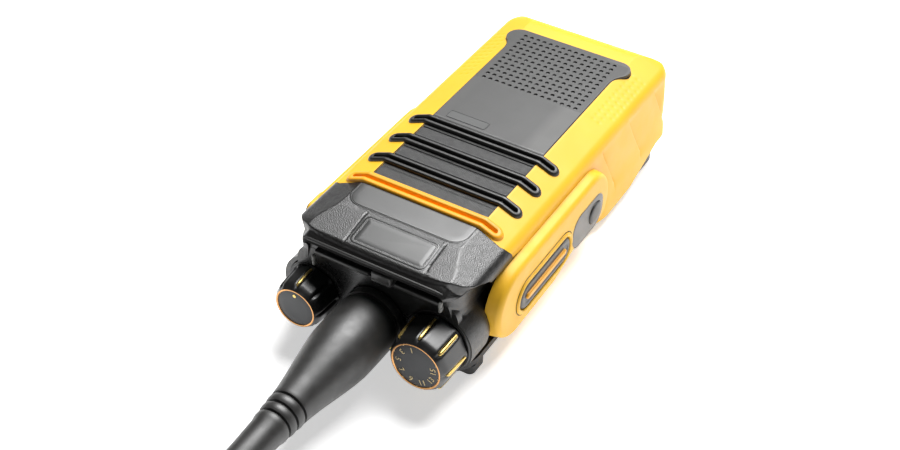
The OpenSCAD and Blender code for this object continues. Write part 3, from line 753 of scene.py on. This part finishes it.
def build_end_details():
    """The lip's bead, rails, index marks, light guide and collars over the deck."""
    bead = [[(x, a, b) for a, b in circle((-60.95, 31.45), r, 10)]
            for x, r in ((-20.5, 0.17), (-18.45, 0.42), (18.45, 0.42), (20.5, 0.17))]
    piece("lip_bead", capped(bead), SATIN_BLACK, sharp=60)

    low, high = span("light_guide")
    rail_y, rail_z = (HEAD_Y + DECK_Y) / 2, 27.85
    rails = [bar_piece(-17.2, low.x - 0.9, rail_y, rail_z, 2.3, 1.35, 0.45),
             bar_piece(high.x + 0.5, 19.7, rail_y, rail_z, 2.3, 1.35, 0.45),
             bar_piece(-17.0, 19.0, DECK_Y - 0.3, 25.9, 0.9, 0.7, 0.3)]
    piece("deck_rails", joined(*rails), SATIN_BLACK, sharp=45)
    marks = [joined(bar_piece(x - 0.45, x + 0.45, y + 0.2, z - 1.6, 1.6, 1.6, 0.3),
                    bar_piece(x - 0.45, x + 0.45, y, z, 1.5, 2.0, 0.4))
             for x, y, z in ((-17.2, -61.2, 26.1), (20.2, -61.2, 28.2))]
    piece("index_marks", joined(*marks), MARK_GREY, sharp=45)
    guide = joined(bar_piece(low.x, high.x, -60.3, (low.z + high.z) / 2, 2.8, high.z - low.z, 0.5),
                   bar_piece(low.x + 0.1, high.x - 0.3, -61.5, low.z + 0.55, 0.7, 0.9, 0.3))
    piece("light_window", guide, LIGHT_PIPE, sharp=45, replaces=["light_guide"])
    collar_profile = [(-1.6, 0.0), (-0.6, 0.1), (-0.5, 0.35), (0.0, 0.4), (0.1, 0.1), (0.3, 0.0)]
    collars = [sheet_of([ring(x, DECK_Y - out, r + grow, 72) for grow, out in collar_profile], closed=True)
               for x, r in ((-KNOB_X, 8.0), (KNOB_X, 9.1))]
    piece("deck_collars", joined(*collars), GLOSS_BLACK, sharp=45)


# --- side controls

def slot_about(node, half, r):
    """A slot shape along Y about a node's middle, as a function of its inset."""
    centre = middle(node)
    return lambda inset: stadium((centre.y, centre.z), half, r - inset)


def jack_outline(grow):
    """The jack cover's outline, this much larger all round."""
    return box_outline(*span("jack_cover"), 2.0)(-grow)


def key_circle(r):
    """A circle about the side key."""
    return circle((middle("side_key").y, span("side_key")[1].z - 3.2), r, 40)


def build_jack_seat():
    """The black floor of the jack's recess, with its two plug holes."""
    centre = middle("jack_block")
    plugs = [circle((centre.y, centre.z + 0.3 + up), 2.6, 32) for up in (-4.25, 4.25)]
    bottoms = [([on_left(a, b, -3.1) for a, b in plug], [tuple(range(len(plug)))]) for plug in plugs]
    seat = joined(holed_face(jack_outline(0.6), plugs, on_left, -1.7, 1.4), *bottoms)
    piece("jack_seat", seat, SATIN_BLACK)


def build_side_controls():
    """The push-to-talk bezel, button and bar, and the side key with its inlay."""
    bezel = slot_about("ptt_bezel", PTT_HALF, 5.5)
    profile = [(-0.15, -0.3), (-0.1, 0.2), (0.1, 0.48), (0.55, 0.6), (0.95, 0.5), (1.15, 0.25), (1.2, -0.6),
               (1.2, -1.5)]
    lip = sheet_of(nested(bezel, profile, on_right), closed=True)
    piece("ptt_lip", lip, YELLOW, sharp=50, replaces=["ptt_bezel"])
    # A thin dark ring round the bezel: a painted shadow line for the gap round it.
    gap = sheet_of(nested(bezel, [(-0.4, 0.04), (-0.12, 0.04)], on_right), closed=True)
    piece("ptt_gap_shadow", gap, SHADOW_GAP, sharp=50)

    profile = [(0.0, -1.4), (0.0, 0.0), (0.15, 0.3), (0.5, 0.46), (1.0, 0.5), (1.6, 0.5), (1.8, 0.35),
               (2.2, 0.35)]
    pad = raised(slot_about("ptt_bezel", PTT_HALF, 3.95), profile, on_right)
    piece("ptt_pad", pad, GREY, "push_to_talk", sharp=50, replaces=["ptt_button"])

    # The push-to-talk bar takes the darker, more orange copy of the yellow: painted shade.
    profile = [(0.0, 0.3), (0.03, 0.65), (0.12, 0.85), (0.35, 0.97), (0.9, 1.0)]
    bar = raised(slot_about("ptt_accent", PTT_HALF + 0.1, 0.95), profile, on_right)
    piece("ptt_bar", bar, YELLOW_SHADED, "push_to_talk", sharp=50, replaces=["ptt_accent"])

    inlay = box_outline(*span("side_key_inlay"), 4.5)
    profile = [(-0.35, -0.1), (-0.25, 0.03), (-0.1, -0.12), (0.0, 0.02), (0.12, 0.08), (0.3, 0.1)]
    plate = joined(sheet_of(nested(inlay, profile, on_right), closed=True),
                   holed_face(inlay(0.3), [key_circle(KEY_HOLE_R)], on_right, 0.1, 0.6))
    piece("key_inlay", plate, GREY_DARK, sharp=50, replaces=["side_key_inlay"])

    radii = [(3.4, -1.0), (3.4, 0.12), (3.3, 0.4), (3.0, 0.55), (2.2, 0.6), (1.2, 0.6), (0.05, 0.6)]
    key = raised(key_circle, radii, on_right)
    piece("key_button", key, RUBBER, "aux_key", sharp=50, replaces=["side_key"])


# --- knobs and antenna

FACETS = 8
DIAL_START, DIAL_STEP = 14, 18.9


def knob_radius(angle, reach, groove):
    """Radius of a faceted grip: flat faces, round corners and a groove at each corner."""
    pitch = math.tau / FACETS
    off = (angle + pitch / 2) % pitch - pitch / 2
    from_face = pitch / 2 - abs(off)
    flat = reach * math.cos(pitch / 2) / math.cos(from_face)
    soft = min(flat, reach * 0.985)
    return soft - groove * bump(off * reach, 0.62)


def knob_rows(x, back_y, length, reach, ring_r):
    """Rings of a knob from its base to its end face."""
    profile = [(0.0, -1.2, 0.0), (0.05, -0.15, 0.0), (0.3, 0.0, 0.15), (0.9, 0.0, 0.9), (2.0, 0.0, 1.0),
               (length * 0.5, -0.12, 1.0), (length - 2.6, -0.3, 1.0), (length - 1.6, -0.45, 0.9),
               (length - 0.9, -0.9, 0.6), (length - 0.35, None, 0.15), (length - 0.05, None, 0.0)]
    rows = []
    count = FACETS * 30
    for out, shrink, groove in profile:
        row = []
        for i in range(count):
            a = math.tau * i / count
            if shrink is None:
                share = 0.35 if groove else 0.0
                r = ring_r + 0.25 + share * (knob_radius(a, reach - 0.9, 0.2) - ring_r - 0.25)
            else:
                r = knob_radius(a, reach + shrink, 0.75 * groove)
            row.append((x + r * math.cos(a), back_y - out, AXIS_Z + r * math.sin(a)))
        rows.append(row)
    for r, out in ((ring_r + 0.1, length - 0.1), (ring_r - 0.1, length - 0.5)):
        rows.append(ring(x, back_y - out, r, count))
    return rows


def torus_rows(x, y, r, thick):
    """Rings of a round wire bent to a circle."""
    rows = [ring(x, y + b, r + a, 96) for a, b in circle((0, 0), thick, 12)]
    return rows + rows[:1]


def gold_line(x, back_y, length, reach, angle, width):
    """A thin bar that lies in one groove of a knob."""
    profile = [(1.0, -0.42, 0.5), (1.2, -0.2, 0.9), (length * 0.5, -0.28, 1.0), (length - 2.4, -0.46, 1.0),
               (length - 1.9, -0.55, 0.9), (length - 1.6, -0.9, 0.5)]
    rows = []
    for out, shrink, w in profile:
        half = width * w / 2
        r = reach + shrink
        section = [(-half, -0.35), (-half, 0.0), (-half * 0.5, 0.12)]
        section += [(-u, v) for u, v in section[::-1]]
        rows.append([(x + (r + v) * math.sin(angle) + u * math.cos(angle), back_y - out,
                      AXIS_Z + (r + v) * math.cos(angle) - u * math.sin(angle)) for u, v in section])
    return capped(rows)


def dial_numbers(x, y, r, body):
    """Odd channel numbers with dots between them, on the channel knob's end face."""
    shapes = []
    for i in range(16):
        label, size, lift = (str(i + 1), 2.3, 0.0) if i % 2 == 0 else (".", 3.0, 0.7)
        turn = math.radians(DIAL_START + DIAL_STEP * i)
        text = bpy.data.curves.new("dial_mark", "FONT")
        text.body = label
        text.size = size * MM
        text.align_x = "CENTER"
        text.align_y = "CENTER"
        text.extrude = 0.04 * MM
        text.resolution_u = 2
        shape = place_object("dial_mark", text)
        out = Vector((-math.sin(turn), 0, math.cos(turn)))
        right = Vector((-math.cos(turn), 0, -math.sin(turn)))
        rotation = Matrix((right, -out, Vector((0, -1, 0)))).transposed()
        place = (Vector((x, y, AXIS_Z)) + out * (r + lift)) * MM
        shape.matrix_world = Matrix.Translation(place) @ rotation.to_4x4()
        shapes.append(shape)
    bpy.context.view_layer.update()
    graph = bpy.context.evaluated_depsgraph_get()
    marks = []
    for shape in shapes:
        mesh = shape.evaluated_get(graph).to_mesh()
        marks.append(([(shape.matrix_world @ v.co) / MM for v in mesh.vertices],
                      [tuple(polygon.vertices) for polygon in mesh.polygons]))
        bpy.data.objects.remove(shape)
    piece("dial_numbers", joined(*marks), DIAL_INK, body, sharp=30)


LINE_W = 0.75
TRIM_R = 0.34


def spindle(node):
    """A round node's axis x, its y nearest the deck, its length and its radius."""
    low, high = span(node)
    return (low.x + high.x) / 2, high.y, high.y - low.y, (high.x - low.x) / 2


def turned(x, y, profile, count, z=AXIS_Z):
    """A shape turned about an axis along Y from (radius, distance) pairs, closed at its last ring."""
    return capped([ring(x, y + out, r, count, z) for r, out in profile], first=False)


def build_knob(kind, body, angles):
    """One knob: grip, gold lines, ring and end disc."""
    x, back_y, length, reach = spindle(kind + "_knob")
    end_y = back_y - length
    ring_r = spindle(kind + "_ring")[3] - 0.3
    grip = sheet_of(knob_rows(x, back_y, length, reach, ring_r), closed=True)
    piece(kind + "_grip", grip, KNOB_BLACK, body, sharp=28, replaces=[kind + "_knob"])
    lines = joined(*[gold_line(x, back_y, length, reach, math.radians(a), LINE_W) for a in angles])
    piece(kind + "_lines", lines, GOLD, body)
    trim = sheet_of(torus_rows(x, end_y + TRIM_R, ring_r, TRIM_R), closed=True)
    piece(kind + "_trim_ring", trim, COPPER, body, sharp=60, replaces=[kind + "_ring"])
    disc = [(ring_r + 0.1, 0.5), (ring_r - 0.25, 0.32), (ring_r - 0.5, 0.22), (ring_r * 0.6, 0.2),
            (0.05, 0.2)]
    piece(kind + "_disc", turned(x, end_y, disc, 72), CAP_GREY, body, replaces=[kind + "_cap"])
    return x, end_y, ring_r


def build_knobs():
    """Both knobs, with the channel numbers on one and a dot on the other."""
    x, y, r = build_knob("channel", "channel_control", range(0, 360, 360 // FACETS))
    dial_numbers(x, y + 0.16, r - 1.75, "channel_control")
    x, y, r = build_knob("volume", "volume_control", [0])
    dot = turned(x, y, [(0.55, 0.3), (0.5, 0.1), (0.3, 0.04), (0.05, 0.02)], 20, AXIS_Z + r - 1.6)
    piece("volume_dot", dot, GOLD, "volume_control")


TIP_R = 3.3
BOOT_TAPER = 3.45
# One ring groove of the antenna: (distance along it, depth)
GROOVE = [(0, 0), (0.25, 0.1), (0.35, 0.75), (0.85, 0.8), (0.95, 0.2), (1.15, 0.08), (2.0, 0.05),
          (2.6, 0.12)]


def build_antenna():
    """The rubber antenna, turned from its profile: collar, tapered boot, ring grooves and whip."""
    x, back_y, length, reach = spindle("antenna_boot")
    collar = [(0.0, reach - 5.2), (0.0, 0.5), (0.12, 0.15), (0.4, 0), (2.2, 0), (2.45, 0.12), (2.55, 0.6),
              (2.9, 0.65), (3.3, 0.5), (3.5, 0.15), (3.9, 0)]
    boot = [(10, 0), (14, 0.05), (17, 0.15), (20, 0.5), (24, 1.15), (28, 1.9), (32, 2.65), (36, 3.25),
            (37.8, BOOT_TAPER)]
    profile = [(out, reach - less) for out, less in collar]
    for out in [a + (b - a) * t / 4 for (a, _), (b, _) in zip(boot, boot[1:]) for t in range(4)]:
        profile.append((out, reach - between(boot, out)))
    for i in range(3):
        out, r = 38.0 + 2.9 * i, reach - BOOT_TAPER - 0.25 * i
        profile += [(out + past, r - less) for past, less in GROOVE]
    profile += [(47.5, reach - 4.35), (55, reach - 4.65), (75, 3.75), (95, 3.5), (length - 5, TIP_R)]
    for i in range(1, 10):
        a = math.radians(10 * i)
        profile.append((length - TIP_R * (1 - math.sin(a)), 3.25 * math.cos(a)))
    profile.append((length, 0.02))
    whip = turned(x, back_y, [(r, -out) for out, r in profile], 96)
    piece("antenna_rubber", whip, ANTENNA, "antenna", sharp=50, replaces=["antenna_boot"])


# --- materials

class Nodes:
    """A node material, with short ways to add and join nodes."""

    def __init__(self, name, colour, roughness, metallic=0.0):
        self.material = bpy.data.materials.new(name)
        self.material.use_nodes = True
        self.tree = self.material.node_tree
        self.shader = self.tree.nodes["Principled BSDF"]
        self.put("Base Color", (*colour, 1))
        self.put("Roughness", roughness)
        self.put("Metallic", metallic)
        self.place = self.add("ShaderNodeTexCoord").outputs["Object"]

    def put(self, socket, value):
        """Sets a value that is the same all over, on the shader itself."""
        self.shader.inputs[socket].default_value = value

    def paint(self, source, socket="Base Color"):
        """Lets an output vary one of the shader's inputs."""
        self.join(source, self.shader.inputs[socket])

    def add(self, kind, **values):
        """A new node. Each value goes to an input of that name, or else to a setting."""
        node = self.tree.nodes.new(kind)
        for key, value in values.items():
            if key in node.inputs:
                node.inputs[key].default_value = value
            else:
                setattr(node, key, value)
        return node

    def join(self, output, target):
        """Links an output to an input."""
        self.tree.links.new(output, target)

    def noise(self, scale, detail=3.0):
        """Soft clouds, with about this many to a metre."""
        node = self.add("ShaderNodeTexNoise", Scale=scale, Detail=detail, Roughness=0.5)
        self.join(self.place, node.inputs["Vector"])
        return node.outputs["Fac"]

    def cells(self, scale, smoothness):
        """Rounded cells, darkest in their middles."""
        node = self.add("ShaderNodeTexVoronoi", feature="SMOOTH_F1", Scale=scale, Smoothness=smoothness)
        self.join(self.place, node.inputs["Vector"])
        return node.outputs["Distance"]

    def ramp(self, source, low, high, start=0.3, end=0.7):
        """Spreads the source's values between start and end over low to high."""
        node = self.add("ShaderNodeMapRange",
                        **{"From Min": start, "From Max": end, "To Min": low, "To Max": high})
        self.join(source, node.inputs["Value"])
        return node.outputs["Result"]

    def mix(self, share, first, second):
        """A colour between two, each a colour or an output."""
        node = self.add("ShaderNodeMix", data_type="RGBA")
        self.join(share, node.inputs["Factor"])
        for value, socket in ((first, node.inputs["A"]), (second, node.inputs["B"])):
            if isinstance(value, tuple):
                socket.default_value = (*value, 1)
            else:
                self.join(value, socket)
        return node.outputs["Result"]

    def relief(self, height, strength, distance):
        """Adds a bump on top of those before it."""
        node = self.add("ShaderNodeBump", Strength=strength, Distance=distance * MM)
        self.join(height, node.inputs["Height"])
        earlier = self.shader.inputs["Normal"].links
        if earlier:
            self.join(earlier[0].from_socket, node.inputs["Normal"])
        self.join(node.outputs["Normal"], self.shader.inputs["Normal"])


def scaled(colour, factor, lift=0.0):
    """A colour made darker or lighter."""
    return tuple(min(1.0, c * factor + lift) for c in colour)


def moulded(name, colour, roughness, shade=0.12, grain=0.25, grain_size=0.35, gloss=0.5, edge_highlight=0.0,
            highlight_colour=None):
    """Moulded plastic: slight colour drift, spark texture, uneven gloss and a painted highlight on convex
    edges.
    """
    m = Nodes(name, colour, roughness)
    lighter = scaled(colour, 1 + shade / 2)
    tint = m.mix(m.ramp(m.noise(45, 4), 0, 1), scaled(colour, 1 - shade), lighter)
    # Convex edges, found by pointiness, are painted a lighter colour: a painted highlight along the edges.
    if edge_highlight:
        edge = m.ramp(m.add("ShaderNodeNewGeometry").outputs["Pointiness"], 0, edge_highlight, 0.52, 0.6)
        tint = m.mix(edge, tint, highlight_colour or lighter)
    m.paint(tint)
    m.paint(m.ramp(m.noise(160, 3), roughness * 0.88, roughness * 1.14), "Roughness")
    m.relief(m.noise(1000 / grain_size, 2), grain, 0.02)
    m.relief(m.noise(90, 2), 0.15, 0.03)
    m.put("Specular IOR Level", gloss)
    return m.material


def leather(name, colour, roughness, gloss):
    """Plastic moulded with a fine leather grain."""
    m = Nodes(name, colour, roughness)
    cells = m.cells(3600, 0.3)
    # The colour follows the grain's relief: painted highlight on the raised cells and painted shade in the
    # grooves between them.
    m.paint(m.mix(m.ramp(cells, 0, 1, 0.1, 0.6), scaled(colour, 1.35), scaled(colour, 0.7)))
    m.paint(m.ramp(m.noise(700, 2), roughness * 0.8, roughness * 1.2), "Roughness")
    m.relief(cells, 0.7, -0.07)
    m.relief(m.noise(2600, 2), 0.2, 0.02)
    m.put("Specular IOR Level", gloss)
    return m.material


def metal(name, colour, roughness, brushed=0.0):
    """Machined, plated or brushed metal."""
    m = Nodes(name, colour, roughness, metallic=1.0)
    m.paint(m.mix(m.ramp(m.noise(120, 4), 0, 1), scaled(colour, 0.85), colour))
    m.paint(m.ramp(m.noise(400, 3), roughness * 0.75, roughness * 1.3), "Roughness")
    if brushed:
        stretch = m.add("ShaderNodeMapping", Scale=(60, 4000, 4000))
        m.join(m.place, stretch.inputs["Vector"])
        lines = m.add("ShaderNodeTexNoise", Scale=1.0, Detail=2.0)
        m.join(stretch.outputs["Vector"], lines.inputs["Vector"])
        m.relief(lines.outputs["Fac"], brushed, 0.01)
    return m.material


def rubber(name, colour, roughness):
    """Matte rubber with a dusty bloom and fine pits."""
    m = Nodes(name, colour, roughness)
    m.paint(m.mix(m.ramp(m.noise(70, 5), 0, 1, 0.35, 0.75), colour, scaled(colour, 1.5, 0.006)))
    m.paint(m.ramp(m.noise(300, 3), roughness * 0.9, min(1.0, roughness * 1.15)), "Roughness")
    m.relief(m.noise(2400, 2), 0.3, 0.03)
    m.put("Specular IOR Level", 0.9)
    m.put("Sheen Weight", 0.06)
    m.put("Sheen Roughness", 0.5)
    return m.material


def frosted(name, colour):
    """The frosted light guide."""
    m = Nodes(name, colour, 0.35)
    m.put("Transmission Weight", 0.35)
    m.put("IOR", 1.49)
    m.paint(m.mix(m.ramp(m.noise(500, 3), 0, 1), scaled(colour, 0.7), colour))
    m.relief(m.noise(1200, 2), 0.3, 0.05)
    return m.material


def circuit_board(name):
    """Green solder mask with faint tracks."""
    m = Nodes(name, (0.02, 0.16, 0.07), 0.35)
    tracks = m.add("ShaderNodeTexBrick", Scale=380.0, Color1=(0.02, 0.17, 0.07, 1),
                   Color2=(0.015, 0.13, 0.055, 1), Mortar=(0.03, 0.23, 0.1, 1))
    m.join(m.place, tracks.inputs["Vector"])
    m.paint(tracks.outputs["Color"])
    m.relief(tracks.outputs["Fac"], 0.4, 0.03)
    return m.material


DEEP_BLACK = (0.008, 0.008, 0.008)

# Where a material below gets an edge amount and colour, its convex edges are painted lighter: a painted
# highlight.
YELLOW = moulded("yellow_satin", (0.95, 0.53, 0.03), 0.45, shade=0.07, grain=0.12, gloss=0.35,
                 edge_highlight=0.4, highlight_colour=(0.95, 0.62, 0.12))
# A darker, more orange copy of the housing's yellow, used on the accent bar and the push-to-talk bar:
# painted shade.
YELLOW_SHADED = moulded("yellow_painted_shade", (0.93, 0.42, 0.02), 0.4, shade=0.07, grain=0.1, gloss=0.4)
PANEL = moulded("panel_satin", (0.024, 0.024, 0.023), 0.4, grain=0.35, gloss=0.65, edge_highlight=0.25,
                highlight_colour=(0.15, 0.15, 0.14))
# Near-black material for those thin strips: painted shadow in the gaps round the panel and the push-to-talk
# bezel.
SHADOW_GAP = moulded("painted_gap_shadow", (0.012, 0.011, 0.01), 0.7, grain=0.1)
BAR_BLACK = moulded("bar_black", (0.008, 0.008, 0.0075), 0.4, grain=0.4, grain_size=0.3, gloss=0.7,
                    edge_highlight=0.25, highlight_colour=(0.06, 0.06, 0.058))
LEATHER = leather("leather_grain", (0.011, 0.0108, 0.0102), 0.36, 0.9)
STRIP_LEATHER = leather("strip_grain", (0.01, 0.01, 0.0095), 0.45, 0.5)
SATIN_BLACK = moulded("satin_black", (0.013, 0.013, 0.012), 0.45, grain=0.4, grain_size=0.3, gloss=0.6)
GREY = moulded("grey_satin", (0.045, 0.047, 0.046), 0.42, grain=0.3, gloss=0.6)
GREY_DARK = moulded("grey_smooth", (0.028, 0.029, 0.028), 0.36, grain=0.35, gloss=0.9, edge_highlight=0.3,
                    highlight_colour=(0.1, 0.1, 0.095))
GLOSS_BLACK = moulded("deck_gloss", DEEP_BLACK, 0.28, grain=0.1, gloss=0.7, edge_highlight=0.25,
                      highlight_colour=(0.06, 0.06, 0.06))
KNOB_BLACK = moulded("knob_gloss", DEEP_BLACK, 0.32, grain=0.12, gloss=0.9, edge_highlight=0.25,
                     highlight_colour=(0.06, 0.06, 0.057))
CAP_GREY = moulded("cap_grey", (0.05, 0.052, 0.055), 0.45, grain=0.3)
MARK_GREY = moulded("mark_grey", (0.16, 0.16, 0.15), 0.4, grain=0.1)
COPPER = metal("copper_trim_metal", (0.83, 0.43, 0.17), 0.28)
GOLD = metal("gold_line_metal", (0.9, 0.66, 0.22), 0.42)
DIAL_INK = moulded("dial_ink", (0.8, 0.63, 0.33), 0.5, grain=0.1)
ANTENNA = rubber("antenna_matte", (0.014, 0.0135, 0.0125), 0.45)
RUBBER = rubber("rubber_matte", (0.012, 0.012, 0.0115), 0.5)
LIGHT_PIPE = frosted("light_guide_frosted", (0.07, 0.07, 0.068))

CAD_LOOKS = {
    "yellow_housing": YELLOW,
    "black_panel": PANEL,
    "black_housing": SATIN_BLACK,
    "black_deck": GLOSS_BLACK,
    "grey_plastic": GREY,
    "knob_black": KNOB_BLACK,
    "knob_cap": CAP_GREY,
    "copper_trim": COPPER,
    "antenna_rubber": ANTENNA,
    "key_rubber": RUBBER,
    "light_pipe": LIGHT_PIPE,
    "seal_rubber": rubber("seal_silicone", (0.55, 0.12, 0.04), 0.5),
    "chassis_metal": moulded("chassis_coat", (0.025, 0.025, 0.026), 0.45, grain=0.5, grain_size=0.5),
    "brass": metal("brass_machined", (0.78, 0.55, 0.22), 0.3),
    "steel": metal("steel_zinc", (0.56, 0.57, 0.58), 0.32, brushed=0.2),
    "board": circuit_board("solder_mask"),
    "tin_can": metal("tin_plate", (0.66, 0.67, 0.66), 0.35, brushed=0.25),
    "black_plastic": moulded("black_moulded", (0.022, 0.022, 0.022), 0.5, grain=0.4),
    "felt": rubber("felt_mesh", (0.02, 0.02, 0.02), 0.9),
    "cone_paper": rubber("pressed_paper", (0.06, 0.06, 0.065), 0.8),
    "battery_black": moulded("battery_spark", (0.025, 0.025, 0.025), 0.42, grain=0.6, grain_size=0.5),
    "cell_wrap": moulded("cell_wrap_blue", (0.03, 0.09, 0.32), 0.3, grain=0.1),
    "gold_plate": metal("gold_plate_metal", (0.9, 0.68, 0.28), 0.22),
}


def dress_cad():
    """Gives each carried-over CAD node the look of its slot."""
    for part in frame["record"]["subparts"]:
        node = frame["nodes"][part["node"]]
        node.data.materials.clear()
        node.data.materials.append(CAD_LOOKS[part["material_slot"]])


# --- stage

FLOOR_HALF = 3.0
KEY_PLACE = Vector((-0.02, 0.46, 0.84))
KEY_AIM = Vector((0, -0.01, 0.02))
WHITE = (1.0, 1.0, 1.0, 1)


def build_stage():
    """A pale floor, a faint white world and one large soft light."""
    corners = [(FLOOR_HALF * sx, FLOOR_HALF * sy, 0) for sx, sy in ((-1, -1), (1, -1), (1, 1), (-1, 1))]
    floor_mesh = bpy.data.meshes.new("floor")
    floor_mesh.from_pydata(corners, [], [(0, 1, 2, 3)])
    floor = place_object("floor", floor_mesh)
    m = Nodes("floor_paper", (0.93, 0.93, 0.93), 0.6)
    m.paint(m.mix(m.ramp(m.noise(30, 3), 0, 1), (0.925, 0.925, 0.925), (0.94, 0.94, 0.94)))
    m.put("Emission Color", WHITE)
    m.put("Emission Strength", 0.55)
    floor_mesh.materials.append(m.material)

    world = bpy.data.worlds.new("studio")
    world.use_nodes = True
    background = world.node_tree.nodes["Background"]
    background.inputs["Color"].default_value = WHITE
    background.inputs["Strength"].default_value = 0.06
    bpy.context.scene.world = world
    bpy.context.scene.view_settings.view_transform = "Standard"

    data = bpy.data.lights.new("key", "AREA")
    data.shape = "RECTANGLE"
    data.size, data.size_y = 0.7, 0.66
    data.energy = 18
    light = place_object("key", data)
    light.location = KEY_PLACE
    light.rotation_euler = (KEY_AIM - KEY_PLACE).to_track_quat("-Z", "Y").to_euler()


CAMERA_TARGET = Vector((10.72, -40.99, 35.0))
CAMERA_AZIMUTH = math.radians(29.4)
CAMERA_ELEVATION = math.radians(40.1)
CAMERA_ROLL = math.radians(1.9)
CAMERA_DISTANCE = 366.8
LENS, SENSOR_W = 58.13, 36


def build_camera():
    """The camera, set by its direction from a point on the front face."""
    back = Vector((math.sin(CAMERA_AZIMUTH) * math.cos(CAMERA_ELEVATION),
                   -math.cos(CAMERA_AZIMUTH) * math.cos(CAMERA_ELEVATION), math.sin(CAMERA_ELEVATION)))
    level = Vector((math.cos(CAMERA_AZIMUTH), math.sin(CAMERA_AZIMUTH), 0))
    right = math.cos(CAMERA_ROLL) * level + math.sin(CAMERA_ROLL) * back.cross(level)
    data = bpy.data.cameras.new("camera")
    data.lens = LENS
    data.sensor_width = SENSOR_W
    data.clip_start = 0.01
    camera = place_object("camera", data)
    turn = Matrix((right, back.cross(right), back)).transposed()
    camera.matrix_world = Matrix.Translation((CAMERA_TARGET + back * CAMERA_DISTANCE) * MM) @ turn.to_4x4()
    bpy.context.scene.camera = camera


for build in (build_camera, build_stage, dress_cad, build_housing, build_pods, build_panel, build_bars,
              build_tag, build_head, build_brow_parts, build_end_details, build_side_controls,
              build_jack_seat, build_knobs, build_antenna):
    build()
